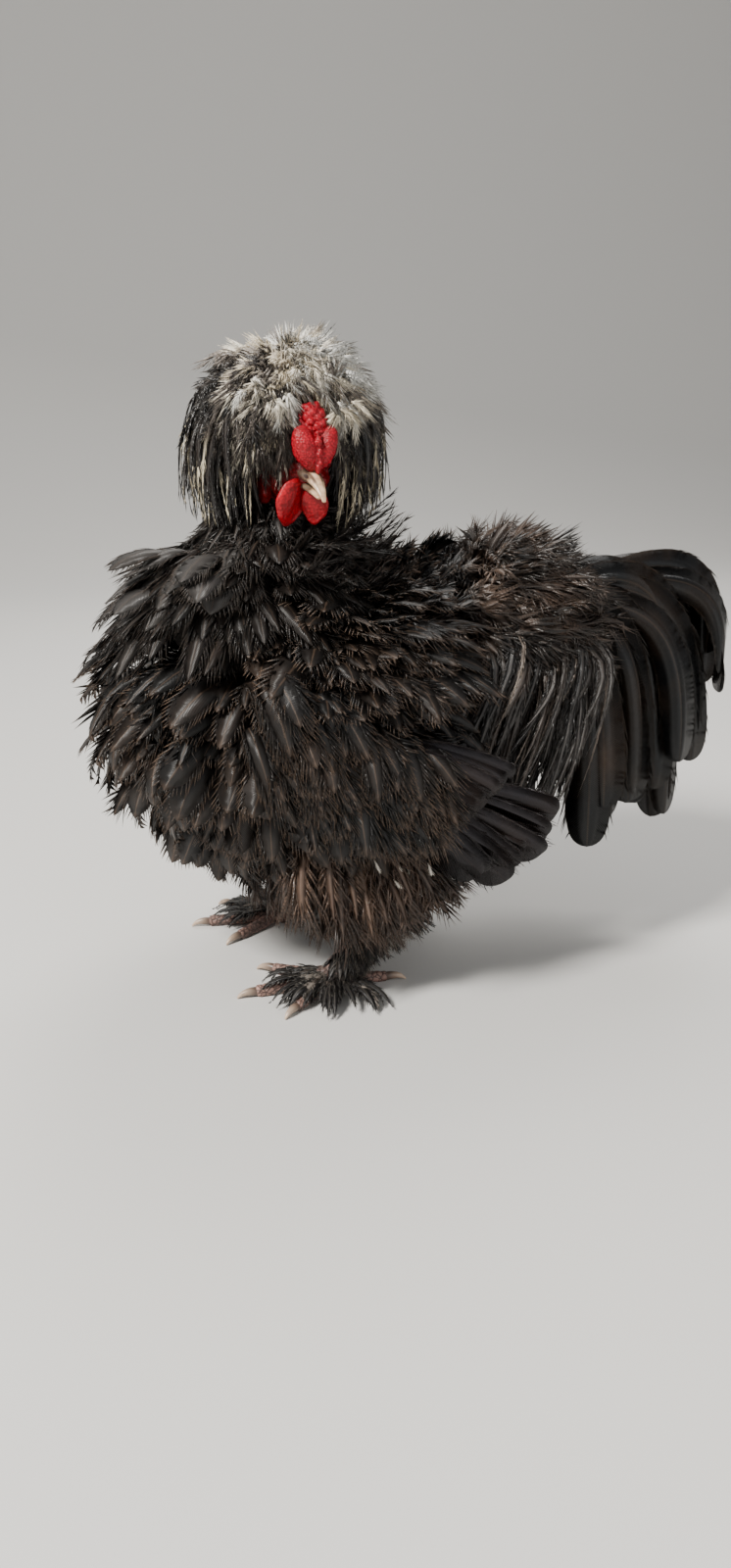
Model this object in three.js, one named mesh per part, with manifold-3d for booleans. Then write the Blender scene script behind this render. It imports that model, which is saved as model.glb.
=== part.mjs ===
// A frizzle-feathered silkie cockerel, life size, standing with its head turned to its left.
// Millimetres, +Z up. The bird looks along -Y, its left side is +X, and the floor is Z = 0.
// Each node is made of a core and the feathers that grow from it, joined into one closed body,
// and is then cut clear of the nodes made before it.
import * as THREE from "three";
import { mergeVertices } from "three/addons/utils/BufferGeometryUtils.js";
import Module from "manifold-3d";

const wasm = await Module();
wasm.setup();

// Driving dimensions
const GAP = 0.3; // left between two nodes that touch
const SINK = 5; // how deep a feather's root goes into its core
const KEPT = 0.7; // the least share of a feather that its neighbours must leave
const HEAD_AT = [44, -12, 297]; // middle of the skull
const HEAD_YAW = 10; // degrees that the head is turned past straight left
const HEAD_PITCH = 14; // degrees that the beak points down
const TORSO = { centre: [0, 4, 150], radii: [66, 90, 64], turn: [-10, 0, 0] };
const BODY_COAT = { centre: [0, 2, 150], radii: [116, 140, 105], turn: [-10, 0, 0] };
const CREST_KNOB = { centre: [24, -11, 318], radii: [29, 28, 26], turn: [0, 0, 0] };
const CREST_COAT = { centre: [22, -11, 310], radii: [52, 55, 53], turn: [0, 0, 0] };
const NECK_FOOT = [0, -38, 196]; // where the neck leaves the torso
const NECK_TOP = [20, -16, 282]; // where it meets the skull
const WRIST = [86, 34, 134]; // from where the flight feathers spread, on the left wing
const RUMP = { centre: [0, 108, 192], radii: [38, 38, 35], turn: [0, 0, 0] };
const CUSHION_COAT = { centre: [0, 110, 196], radii: [72, 62, 70], turn: [0, 0, 0] };
const TAIL_ROOT = [0, 142, 206];
const HOCK = [51, 36, 52]; // left leg
const FOOT = [48, 7, 0]; // middle of the left foot
const RIGHT_STEP = -13; // the right foot stands this far behind the left, so in front of it

// Directions and small helpers
const v3 = (x, y, z) => new THREE.Vector3(x, y, z);
const radians = THREE.MathUtils.degToRad;
const { clamp, lerp } = THREE.MathUtils;
const SIDES = [["left", 1], ["right", -1]];

// A seeded random source, so that each build gives the same bird.
function randomSource(seed) {
  let state = seed >>> 0;
  return (low, high) => {
    state = (state + 0x6d2b79f5) >>> 0;
    let t = Math.imul(state ^ (state >>> 15), 1 | state);
    t = (t + Math.imul(t ^ (t >>> 7), 61 | t)) ^ t;
    return low + (high - low) * (((t ^ (t >>> 14)) >>> 0) / 4294967296);
  };
}

// A closed geometry as a solid with its faces pointing out.
function solidOf(geometry) {
  const bare = geometry.clone();
  bare.deleteAttribute("normal");
  bare.deleteAttribute("uv");
  const merged = mergeVertices(bare, 1e-3);
  const vertProperties = merged.attributes.position.array;
  const triVerts = new Uint32Array(merged.index.array);
  const made = new wasm.Manifold(new wasm.Mesh({ numProp: 3, vertProperties, triVerts }));
  if (made.volume() >= 0) return made;
  for (let i = 0; i < triVerts.length; i += 3) {
    [triVerts[i + 1], triVerts[i + 2]] = [triVerts[i + 2], triVerts[i + 1]];
  }
  return new wasm.Manifold(new wasm.Mesh({ numProp: 3, vertProperties, triVerts }));
}

const joined = (solids) => wasm.Manifold.union(solids);
const largest = (solid) => solid.decompose().reduce((best, s) => (s.volume() > best.volume() ? s : best));

function geometryOf(solid) {
  const mesh = solid.getMesh();
  const geometry = new THREE.BufferGeometry();
  geometry.setAttribute("position", new THREE.BufferAttribute(mesh.vertProperties, 3));
  return geometry.setIndex(new THREE.BufferAttribute(mesh.triVerts, 1));
}

// An ellipsoid, turned by Euler angles in degrees. shape may move each point of the unit
// sphere before it is stretched.
function ellipsoid(form, grow = 0, around = 16, down = 10, shape = null) {
  const ball = new THREE.SphereGeometry(1, around, down);
  const at = ball.attributes.position;
  const size = v3(...form.radii).addScalar(grow);
  const spin = new THREE.Euler(...(form.turn ?? [0, 0, 0]).map(radians));
  const centre = v3(...form.centre);
  for (let i = 0; i < at.count; i++) {
    const p = new THREE.Vector3().fromBufferAttribute(at, i);
    if (shape) shape(p);
    p.multiply(size).applyEuler(spin).add(centre);
    at.setXYZ(i, p.x, p.y, p.z);
  }
  return solidOf(ball);
}

// The point of a form's surface in a direction, and the surface's normal there.
function onForm(form, direction) {
  const spin = new THREE.Euler(...form.turn.map(radians));
  const radii = v3(...form.radii);
  const d = direction.clone().applyQuaternion(new THREE.Quaternion().setFromEuler(spin).invert());
  d.divide(radii).normalize();
  const normal = d.clone().divide(radii).normalize().applyEuler(spin);
  const point = d.multiply(radii).applyEuler(spin).add(v3(...form.centre));
  return { point, normal };
}

// A direction from the angle off a pole and the turn round +Z, 0 towards -Y and 90 towards +X.
function heading(offTop, turn) {
  const [a, b] = [radians(offTop), radians(turn)];
  return v3(Math.sin(a) * Math.sin(b), -Math.sin(a) * Math.cos(b), Math.cos(a));
}

// A closed body swept along a curve. section(t) gives [half width, half thickness] there,
// across is the direction of the width, or facing that of the face, and tilt turns it.
// With a tip it ends in a point. A feather has three sides: a ridge and a flat underside.
// The form that cuts clear of it has blunt edges and a blunt tip.
function sweep(curve, across, section, options = {}) {
  const { rings = 4, sides = 3, tip = true, camber = 0, tilt = 0, grow = 0, facing = null } = options;
  const blunt = sides === 3 && grow > 0;
  const corners = blunt ? 5 : sides;
  const isRidge = (j) => (blunt ? j === 2 : j % 2 === 1);
  const outline = (half, thick) => {
    const [w, low] = [half + grow, -camber * half - grow];
    if (blunt) return [[w, low], [w, low + 2 * grow], [0, thick + grow], [-w, low + 2 * grow], [-w, low]];
    if (sides === 3) return [[w, low], [0, thick], [-w, low]];
    return Array.from({ length: sides }, (_, j) => {
      const angle = (2 * Math.PI * j) / sides;
      return [Math.cos(angle) * w, Math.sin(angle) * (thick + grow)];
    });
  };
  const pointed = tip && !grow;
  const middles = Array.from({ length: rings + 1 }, (_, i) => curve.getPoint(i / rings));
  const [start, end] = [middles[0].clone(), middles[rings].clone()];
  middles[0].addScaledVector(middles[1].clone().sub(start).normalize(), -grow);
  middles[rings].addScaledVector(end.clone().sub(middles[rings - 1]).normalize(), grow);
  const last = pointed ? rings - 1 : rings;
  const points = [];
  for (let i = 0; i <= last; i++) {
    const t = i / rings;
    const along = curve.getTangent(t);
    const side = facing ? along.clone().cross(facing) : across.clone();
    side.addScaledVector(along, -side.dot(along)).normalize().applyAxisAngle(along, radians(tilt));
    const face = side.clone().cross(along);
    const [half, thick] = tip && i === rings ? [0, 0] : section(t);
    for (const [x, y] of outline(half, thick)) {
      points.push(middles[i].clone().addScaledVector(side, x).addScaledVector(face, y));
    }
  }
  const faces = [];
  for (let i = 0; i < last; i++) {
    for (let j = 0; j < corners; j++) {
      const next = (j + 1) % corners;
      const [a, b] = [i * corners + j, i * corners + next];
      const [c, d] = [a + corners, b + corners];
      if (isRidge(j)) faces.push(a, b, c, b, d, c);
      else faces.push(a, b, d, a, d, c);
    }
  }
  for (let k = 1; k < corners - 1; k++) {
    faces.push(0, k + 1, k);
    if (!pointed) faces.push(last * corners, last * corners + k, last * corners + k + 1);
  }
  if (pointed) {
    points.push(end);
    for (let j = 0; j < corners; j++) {
      faces.push(last * corners + j, last * corners + ((j + 1) % corners), points.length - 1);
    }
  }
  return solidOf(new THREE.BufferGeometry().setFromPoints(points).setIndex(faces));
}

// A feather: narrow at its root, widest past the middle, and pointed.
// It leaves its root towards bend, curls over and ends at tip.
function vane({ root, bend, tip, across, facing, width, tilt = 9, thick = 0.9, camber = 0.05, rings = 3 }, grow = 0) {
  const curve = new THREE.QuadraticBezierCurve3(root, bend, tip);
  const section = (t) => [(width / 2) * Math.sin(Math.PI * (0.13 + 0.6 * t)), lerp(thick, 0.7 * thick, t)];
  return sweep(curve, across, section, { rings, camber, tilt, grow, facing });
}

// A round limb such as a neck, leg or toe, from radius first to radius second.
function limb(points, first, second, { rings = 4, sides = 8, tip = false, grow = 0, across = v3(1, 0, 0) } = {}) {
  const curve = new THREE.CatmullRomCurve3(points.map((p) => v3(...p)));
  return sweep(curve, across, (t) => [lerp(first, second, t), lerp(first, second, t)], { rings, sides, tip, grow });
}

// A feather from a core's surface to the coat's outer form, from one heading to another.
// lift is how far it stands out before it curls over, as a share of its length.
function frizzle(core, coat, from, to, { width, lift = 0.5, reach = 1, thick = 0.9, rings = 3 }) {
  const { point, normal } = onForm(core, from);
  const root = point.clone().addScaledVector(normal, -SINK);
  const outer = onForm(coat, to).point;
  const tip = v3(...coat.centre).lerp(outer, reach);
  const length = tip.distanceTo(point);
  const bend = point.clone().addScaledVector(normal, lift * length);
  bend.addScaledVector(outer.clone().sub(v3(...coat.centre)).normalize(), 0.35 * lift * length);
  const across = tip.clone().sub(bend).cross(normal).normalize();
  return { root, bend, tip, across, width, thick, rings };
}

// The head's own frame has x along the beak, y to the bird's left and z up.
const headPose = new THREE.Matrix4()
  .makeRotationFromEuler(new THREE.Euler(0, radians(HEAD_PITCH), radians(HEAD_YAW), "ZYX"))
  .setPosition(v3(...HEAD_AT));
const onHead = (solid) => solid.transform(Array.from(headPose.elements));

// Eyes: balls that sit half way into the sides of the face.
const EYE = { at: [9, 14, 4], radius: 4.6 };
function eye(side, grow) {
  const [x, y, z] = EYE.at;
  return onHead(ellipsoid({ centre: [x, side * y, z], radii: [EYE.radius, 4.2, EYE.radius] }, grow, 8, 6));
}

// Beak: the upper half hooks over the lower, and holds the nostrils.
function beakUpper(grow) {
  const culmen = new THREE.QuadraticBezierCurve3(v3(16, 0, 1.5), v3(37, 0, 5.5), v3(46, 0, -5));
  const section = (t) => [lerp(7.4, 1.6, t ** 1.3), lerp(5.2, 1.4, t ** 1.3)];
  const horn = sweep(culmen, v3(0, 1, 0), section, { rings: 5, sides: 8, grow });
  if (grow) return onHead(horn);
  const nostrils = SIDES.map(([, side]) =>
    ellipsoid({ centre: [28, side * 6.6, 4.2], radii: [2.6, 1.9, 1.1], turn: [0, 8, 0] }, 0, 6, 5));
  return onHead(horn.subtract(joined(nostrils)));
}
function beakLower(grow) {
  const jaw = new THREE.QuadraticBezierCurve3(v3(15, 0, -4.5), v3(30, 0, -4.2), v3(39.5, 0, -5.8));
  return onHead(sweep(jaw, v3(0, 1, 0), (t) => [lerp(6, 1.8, t), lerp(3.6, 1.2, t)], { rings: 4, sides: 8, grow }));
}

// Comb: one fleshy body that leans back from the beak. It has a groove up its front between
// two upright lobes, and rounded bulbs all over its top.
const COMB = { centre: [27, 0.3, 18.5], radii: [9, 12.5, 18.5], turn: [0, -30, 0] };
const COMB_BULBS = [
  // direction on the comb's own form: forward, left, up its length
  [0.7, 0.62, 0.35], [0.75, -0.6, 0.3], [0.75, 0.05, 0.62], [0.35, 0.62, 0.75], [0.35, -0.66, 0.72],
  [0.2, 0.05, 1], [-0.4, 0.5, 0.8], [-0.4, -0.5, 0.8], [-0.1, 1, 0.25], [-0.1, -1, 0.2],
].map((d) => v3(...d).normalize());
function combShape(p) {
  const up = p.z;
  const front = clamp(p.x + 0.3, 0, 1);
  let size = 1 - 0.42 * front * Math.exp(-((p.y / 0.24) ** 2)) * clamp(0.75 - up, 0, 1);
  for (const bulb of COMB_BULBS) size += 0.24 * Math.exp(-p.distanceToSquared(bulb) / 0.075);
  p.multiplyScalar(size);
  p.y *= 1 - 0.4 * clamp(-up, 0, 1);
}
const comb = (grow) => onHead(ellipsoid(COMB, grow, 18, 14, combShape));

// Wattles and ear lobes: flat, rounded folds of bare skin.
function wattle(side, grow) {
  const form = side > 0
    ? { centre: [26.5, 4.6, -17], radii: [7.6, 4.4, 12.5], turn: [0, 6, 52] }
    : { centre: [24.5, -9.6, -16.5], radii: [10.5, 4.6, 14.5], turn: [0, 8, -62] };
  const fuller = (p) => {
    p.x *= 1 - 0.3 * p.z;
    p.y *= 1 - 0.2 * p.z;
  };
  return onHead(ellipsoid(form, grow, 10, 7, fuller));
}
function earlobe(side, grow) {
  return onHead(ellipsoid({ centre: [1, side * 15, -12], radii: [8, 4, 9], turn: [0, 10, 0] }, grow, 8, 6));
}

// Head: a skull that narrows to the beak, with lids round the eyes and a cup for each ear.
function head(grow) {
  const narrow = (p) => {
    const front = Math.max(p.x, 0);
    p.y *= 1 - 0.42 * front * front;
    p.z *= 1 - 0.34 * front * front;
    p.z -= 0.12 * front;
  };
  const skull = ellipsoid({ centre: [0, 0, 0], radii: [26, 16.5, 19] }, grow, 14, 9, narrow);
  const lids = SIDES.map(([, side]) => {
    const ring = new THREE.TorusGeometry(4.8, 1.3 + grow, 4, 8);
    ring.rotateX(Math.PI / 2).rotateZ(side * radians(-10));
    ring.translate(EYE.at[0], side * (EYE.at[1] + 0.6), EYE.at[2]);
    return solidOf(ring);
  });
  if (grow) return onHead(joined([skull, ...lids]));
  const ears = SIDES.map(([, side]) => ellipsoid({ centre: [-7, side * 17.5, -1], radii: [3, 3.4, 3] }, 0, 6, 5));
  return onHead(joined([skull, ...lids]).subtract(joined(ears)));
}

// Crest: a mop of feathers that fountains from a knob on the skull and hangs all round,
// parted in front over the comb.
const CREST_TIERS = [
  // degrees off the top where it is rooted and where it ends, and how many go round
  { off: 12, to: 38, count: 4, width: 19, lift: 0.8, rings: 2 },
  { off: 30, to: 66, count: 9, width: 20, lift: 0.62, rings: 2 },
  { off: 50, to: 94, count: 12, width: 20, lift: 0.5 },
  { off: 71, to: 120, count: 14, width: 19, lift: 0.42 },
  { off: 92, to: 146, count: 15, width: 17, lift: 0.34, reach: 0.95 },
];
const PARTING = { middle: 98, half: 15 }; // degrees round +Z, towards the comb
function crestFeathers() {
  const random = randomSource(11);
  const feathers = [];
  for (const tier of CREST_TIERS) {
    for (let i = 0; i < tier.count; i++) {
      const turn = ((i + random(0.3, 0.7)) * 360) / tier.count;
      const to = tier.to + random(-7, 7);
      const inFront = Math.abs(turn - PARTING.middle) < PARTING.half;
      if (inFront && to > 80) continue;
      const from = heading(tier.off, turn);
      const end = heading(inFront ? 40 : to, turn + random(-5, 5));
      feathers.push(frizzle(CREST_KNOB, CREST_COAT, from, end, { ...tier, width: tier.width * random(0.85, 1.1) }));
    }
  }
  return feathers;
}

// Neck: a short thick column under the hackle, whose feathers stand out as a ruff.
const HACKLE_TIERS = [
  // share of the neck's height, how far it spreads, how far the tip drops, and the count
  { height: 0.26, spread: 88, drop: -22, count: 14, width: 31 },
  { height: 0.44, spread: 77, drop: -4, count: 13, width: 29 },
  { height: 0.62, spread: 63, drop: 7, count: 11, width: 26 },
  { height: 0.8, spread: 47, drop: 6, count: 8, width: 22 },
];
const neckRadius = (t) => lerp(41, 25, t);
function neckCore(grow) {
  const curve = new THREE.LineCurve3(v3(...NECK_FOOT), v3(...NECK_TOP));
  const round = (t) => [neckRadius(t), neckRadius(t)];
  return sweep(curve, v3(1, 0, 0), round, { rings: 2, sides: 12, tip: false, grow });
}
function hackleFeathers() {
  const random = randomSource(23);
  const feathers = [];
  for (const tier of HACKLE_TIERS) {
    const middle = v3(...NECK_FOOT).lerp(v3(...NECK_TOP), tier.height);
    for (let i = 0; i < tier.count; i++) {
      const out = heading(90, ((i + random(0.3, 0.7)) * 360) / tier.count);
      const backward = Math.max(out.y, 0);
      const spread = tier.spread * random(0.92, 1.06) * (1 - 0.1 * backward);
      const point = middle.clone().addScaledVector(out, neckRadius(tier.height) - SINK);
      const bend = middle.clone().addScaledVector(out, 0.68 * spread);
      bend.z += 14 + 6 * backward;
      const tip = middle.clone().addScaledVector(out, spread);
      tip.z += tier.drop + random(-5, 5) + 10 * backward;
      const across = out.clone().cross(v3(0, 0, 1));
      feathers.push({ root: point, bend, tip, across, width: tier.width * random(0.9, 1.06) });
    }
  }
  return feathers;
}

// Torso: a deep round body whose breast, flank and belly feathers stand out and hang over.
const BREAST_ROWS = [
  // degrees off the top at the root and at the tip, the turns that the row spans, and the count
  { off: 64, to: 82, from: -66, until: 66, count: 7 },
  { off: 80, to: 97, from: -66, until: 66, count: 8 },
  { off: 96, to: 112, from: -66, until: 66, count: 8 },
  { off: 112, to: 128, from: -66, until: 66, count: 8 },
  { off: 130, to: 144, from: -62, until: 62, count: 6 },
];
const REAR_ROWS = [
  { off: 116, to: 134, from: 68, until: 126, count: 4 },
  { off: 116, to: 134, from: 234, until: 292, count: 4 },
  { off: 112, to: 126, from: 128, until: 232, count: 6 },
];
const BACK_ROWS = [
  { off: 34, to: 46, from: 124, until: 236, count: 4, reach: 1.12 },
  { off: 52, to: 66, from: 96, until: 264, count: 7, reach: 1.06 },
  { off: 70, to: 82, from: 72, until: 126, count: 3, reach: 1 },
  { off: 70, to: 82, from: 234, until: 288, count: 3, reach: 1 },
];
function torsoFeathers() {
  const random = randomSource(37);
  const feathers = [];
  for (const row of [...BREAST_ROWS, ...REAR_ROWS, ...BACK_ROWS]) {
    for (let i = 0; i < row.count; i++) {
      const turn = lerp(row.from, row.until, (i + random(0.42, 0.58)) / row.count);
      const from = heading(row.off, turn);
      const end = heading(row.to + random(-3, 3), turn + random(-3, 3));
      const reach = (row.reach ?? 1) * random(0.95, 1.01);
      const width = 31 * random(0.9, 1.05);
      feathers.push(frizzle(TORSO, BODY_COAT, from, end, { width, reach, lift: 0.45, rings: 2 }));
    }
  }
  return feathers;
}

// Wings: a flat hand at the body's side, with primaries and secondaries that droop behind it
// and curled coverts over it. All is made for the left wing and mirrored for the right.
const WING_HAND = { centre: [79, 2, 156], radii: [9, 45, 27], turn: [-24, 0, -6] };
const mirrored = (p, side) => v3(p.x * side, p.y, p.z);
function flightFeathers() {
  const feathers = [];
  const [x, y, z] = WRIST;
  const primaries = 6;
  for (let k = 0; k < primaries; k++) {
    const share = k / (primaries - 1);
    const slope = radians(lerp(50, 9, share));
    const length = lerp(76, 94, Math.sin(Math.PI * (0.15 + 0.6 * share)));
    const root = v3(x - 5 + 1.2 * k, y - 16, z + lerp(-2, 8, share));
    const tip = v3(x + 3 + 1.4 * k, y + length * Math.cos(slope), z - length * Math.sin(slope));
    const bend = root.clone().lerp(tip, 0.5).add(v3(5, 0, 7));
    feathers.push({ root, bend, tip, across: v3(0.35, Math.sin(slope), Math.cos(slope)), width: 21, tilt: 0, rings: 2 });
  }
  const secondaries = 4;
  for (let k = 0; k < secondaries; k++) {
    const share = k / (secondaries - 1);
    const root = v3(x + 3.5 + 0.6 * k, lerp(2, 20, share), lerp(146, 158, share));
    const tip = v3(x + 13 + 1.2 * k, lerp(58, 90, share), lerp(104, 136, share));
    const bend = root.clone().lerp(tip, 0.5).add(v3(5, 0, 7));
    feathers.push({ root, bend, tip, across: v3(0.3, 0.5, 0.8), width: 20, tilt: 0, rings: 2 });
  }
  return feathers;
}
function wingCoverts() {
  const random = randomSource(53);
  const feathers = [];
  const rows = [{ rise: -15, count: 4 }, { rise: 2, count: 4 }, { rise: 17, count: 3 }];
  for (const { rise, count } of rows) {
    for (let i = 0; i < count; i++) {
      const y = lerp(-40, 30, (i + random(0.42, 0.58)) / count);
      const root = v3(83 - 0.06 * Math.abs(y), y, 155 + rise - 0.4 * y);
      const tip = root.clone().add(v3(33 + random(-3, 3), 12 + random(-3, 4), -26 + random(-4, 4)));
      const bend = root.clone().add(v3(30, 2, 12));
      feathers.push({ root, bend, tip, across: v3(0, 1, 0.3), width: 25, rings: 2 });
    }
  }
  return feathers;
}
function wingFeathers(side) {
  return [...flightFeathers(), ...wingCoverts()].map((f) => ({
    ...f,
    root: mirrored(f.root, side),
    bend: mirrored(f.bend, side),
    tip: mirrored(f.tip, side),
    across: mirrored(f.across, side).multiplyScalar(side),
  }));
}

// Tail: sickles and straight feathers that rise from the rump, arch over and fall in a fan.
// Each half of the fan is one node on its own half of the tail's root.
const TAIL_TIPS = [
  // distance from the middle plane, along Y and up, and the width
  [8, 262, 176, 22], [22, 250, 148, 24], [34, 238, 128, 25], [12, 236, 112, 24], [46, 224, 108, 25],
  [30, 208, 92, 24], [56, 200, 90, 24], [46, 180, 80, 22], [64, 172, 94, 22],
];
function tailFeathers(side) {
  return TAIL_TIPS.map(([out, y, z, width], k) => {
    const [rootX, rootY, rootZ] = TAIL_ROOT;
    const root = v3(side * (rootX + 5 + 1.6 * k), rootY + 12, rootZ + 10 - 3 * k);
    const bend = v3(side * (out + 2), lerp(rootY, y, 0.86), lerp(292, 246, k / (TAIL_TIPS.length - 1)));
    const tip = v3(side * out, y, z);
    const facing = v3(side * 0.85, 0.1, 0.5).normalize();
    return { root, bend, tip, facing, width, tilt: 0, rings: 4 };
  });
}
function tailRoot(side, grow) {
  const half = { centre: [side * 12.5, TAIL_ROOT[1], TAIL_ROOT[2] - 4], radii: [12, 24, 19] };
  return ellipsoid(half, grow, 8, 7);
}

// Saddle: a cushion on the rump whose feathers stand out all round, and long soft hackles
// that hang down both sides.
const CUSHION_ROWS = [
  { off: 12, to: 28, count: 4, width: 25, rings: 2 },
  { off: 32, to: 54, count: 8, width: 27, rings: 2 },
  { off: 60, to: 82, count: 11, width: 27, rings: 2 },
];
function saddleFeathers() {
  const random = randomSource(71);
  const feathers = [];
  for (const { off, to, count, width, rings } of CUSHION_ROWS) {
    for (let i = 0; i < count; i++) {
      const turn = ((i + random(0.42, 0.58)) * 360) / count;
      const end = heading(to + random(-4, 4), turn);
      feathers.push(frizzle(RUMP, CUSHION_COAT, heading(off, turn), end, { width, rings, lift: 0.55 }));
    }
  }
  for (const [, side] of SIDES) {
    const hanging = 8;
    for (let i = 0; i < hanging; i++) {
      const share = (i + 0.5) / hanging;
      const outer = i % 2;
      const root = v3(side * 26, lerp(88, 130, share), 184 + 12 * outer);
      const bend = v3(side * (70 + 14 * outer), lerp(80, 140, share), 222);
      const tip = v3(side * (72 + 10 * outer - 10 * share), lerp(76, 160, share), 104 + 24 * outer + random(0, 8));
      feathers.push({ root, bend, tip, facing: v3(side, 0, 0.25), width: 20, tilt: 4 });
    }
  }
  return feathers;
}

// Legs: a drumstick in loose brown feathers, a feathered shank, and five toes with claws.
function thighCore(side, grow) {
  const knee = [side * 38, 2, 112];
  const middle = [side * 47, 14, 82];
  const hock = [side * HOCK[0], HOCK[1] - 2, HOCK[2] + 6];
  return limb([knee, middle, hock], 27, 9, { rings: 3, sides: 8, grow });
}
function thighFeathers(side) {
  const random = randomSource(89);
  const feathers = [];
  const rows = [{ z: 88, r: 23, count: 7, drop: 42, out: 24 }, { z: 68, r: 15, count: 5, drop: 30, out: 20 }];
  for (const { z, r, count, drop, out } of rows) {
    for (let i = 0; i < count; i++) {
      const around = heading(90, ((i + random(0.3, 0.7)) * 360) / count);
      const middle = v3(46, 12 + 0.5 * (92 - z), z);
      const rear = Math.max(around.y, 0);
      const root = middle.clone().addScaledVector(around, r - SINK);
      const bend = middle.clone().addScaledVector(around, r + out).add(v3(0, 10 * rear, 4));
      const tip = middle.clone().addScaledVector(around, r + out).add(v3(2, 26 * rear + 4, -drop + 12 * rear));
      feathers.push({ root, bend, tip, across: around.clone().cross(v3(0, 0, 1)), width: 23, rings: 2 });
    }
  }
  return feathers.map((f) => ({
    ...f,
    root: mirrored(f.root, side),
    bend: mirrored(f.bend, side),
    tip: mirrored(f.tip, side),
    across: mirrored(f.across, side).multiplyScalar(side),
  }));
}
const stepOf = (side) => (side > 0 ? 0 : RIGHT_STEP);
function shankCore(side, grow) {
  const top = [side * HOCK[0], HOCK[1] - 1, HOCK[2] + 6];
  const ankle = [side * FOOT[0], FOOT[1] + 5 + stepOf(side), 17];
  return limb([top, ankle], 6.5, 6, { rings: 2, sides: 8, grow });
}
function shankFeathers(side) {
  const feathers = [];
  const count = 5;
  for (let i = 0; i < count; i++) {
    const t = (i + 0.5) / count;
    const y = lerp(HOCK[1], FOOT[1] + 5 + stepOf(side), t);
    const root = v3(side * (lerp(HOCK[0], FOOT[0], t) + 2), y, lerp(50, 22, t));
    const tip = root.clone().add(v3(side * 22, lerp(14, -6, t), -14 * (1 - 0.5 * t)));
    const bend = root.clone().lerp(tip, 0.5).add(v3(side * 2, 0, 6));
    feathers.push({ root, bend, tip, facing: v3(side * 0.5, 0.2, 0.8), width: 15, rings: 2 });
  }
  return feathers;
}

// Toes: the turn round +Z from straight ahead, length, thickness, and the height of the root.
const TOES = [
  { turn: 4, length: 46, thick: 4.3, rise: 8 },
  { turn: 44, length: 38, thick: 4, rise: 7 },
  { turn: -36, length: 38, thick: 4, rise: 7 },
  { turn: 172, length: 31, thick: 3.8, rise: 6 },
  { turn: -142, length: 24, thick: 3.4, rise: 9, lifted: 12 },
];
const CLAW = 12; // length of a claw
function toePath(side, { turn, length, rise, lifted = 0 }) {
  const out = heading(90, side * turn);
  const start = v3(side * FOOT[0], FOOT[1] + stepOf(side), 0);
  const at = (d, z) => start.clone().addScaledVector(out, d).setZ(z + (lifted * d) / length);
  return { out, path: [at(0, rise + 1), at(0.35 * length, 4.2), at(0.7 * length, 3), at(length, 2.8)] };
}
function footCore(side, grow) {
  const toes = TOES.map((toe) => {
    const curve = new THREE.CatmullRomCurve3(toePath(side, toe).path);
    const swell = (t) => {
      const r = lerp(toe.thick + 1, toe.thick - 0.4, t);
      return [r, r];
    };
    const across = toePath(side, toe).out.clone().cross(v3(0, 0, 1));
    return sweep(curve, across, swell, { rings: 3, sides: 6, tip: false, grow });
  });
  const pad = { centre: [side * FOOT[0], FOOT[1] + 1 + stepOf(side), 5], radii: [11, 12, 8] };
  const flatten = (p) => {
    p[2] = Math.max(p[2], -grow);
  };
  return joined([...toes, ellipsoid(pad, grow, 8, 6)].map((solid) => solid.warp(flatten)));
}
function footFeathers(side) {
  const feathers = [];
  const count = 5;
  for (let i = 0; i < count; i++) {
    const out = heading(90, side * lerp(20, 118, i / (count - 1)));
    const start = v3(side * FOOT[0], FOOT[1] + stepOf(side), 9);
    const root = start.clone().addScaledVector(out, 3);
    const bend = start.clone().addScaledVector(out, 20).setZ(20);
    const tip = start.clone().addScaledVector(out, lerp(46, 36, i / (count - 1))).setZ(3.5);
    feathers.push({ root, bend, tip, across: out.clone().cross(v3(0, 0, 1)), width: 12, thick: 0.8, rings: 2 });
  }
  return feathers;
}
function claw(side, toe, grow) {
  const { out, path } = toePath(side, toe);
  const end = path[3];
  const root = end.clone().addScaledVector(out, GAP);
  const bend = end.clone().addScaledVector(out, 0.7 * CLAW).add(v3(0, 0, 2.2));
  const tip = end.clone().addScaledVector(out, CLAW).add(v3(0, 0, -2.2));
  const horn = new THREE.QuadraticBezierCurve3(root, bend, tip);
  const across = out.clone().cross(v3(0, 0, 1));
  return sweep(horn, across, (t) => [lerp(2.3, 1, t), lerp(2.5, 1, t)], { rings: 3, sides: 5, grow });
}

// Colours from the photo: feathers near black with a brown cast, red skin, pale horn.
const BLACK = { color: 0x1a1613, roughness: 0.62, metalness: 0.05 };
const BROWN = { color: 0x2e2119, roughness: 0.78, metalness: 0 };
const GREY = { color: 0x4d463f, roughness: 0.8, metalness: 0 };
const RED = { color: 0xc4122a, roughness: 0.5, metalness: 0 };
const HORN = { color: 0xd9bf9c, roughness: 0.42, metalness: 0 };
const SKIN = { color: 0x3a2d2b, roughness: 0.66, metalness: 0 };
const EYE_BROWN = { color: 0x2a1206, roughness: 0.12, metalness: 0 };

// Every node in the order it is made: its name, finish, core and feathers. A core may be
// asked for grown by a margin, which is how it cuts what comes later.
const plan = [];
const addNode = (name, finish, core, feathers = [], mirrored = false) =>
  plan.push({ name, finish, core, feathers, mirrored });

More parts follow.
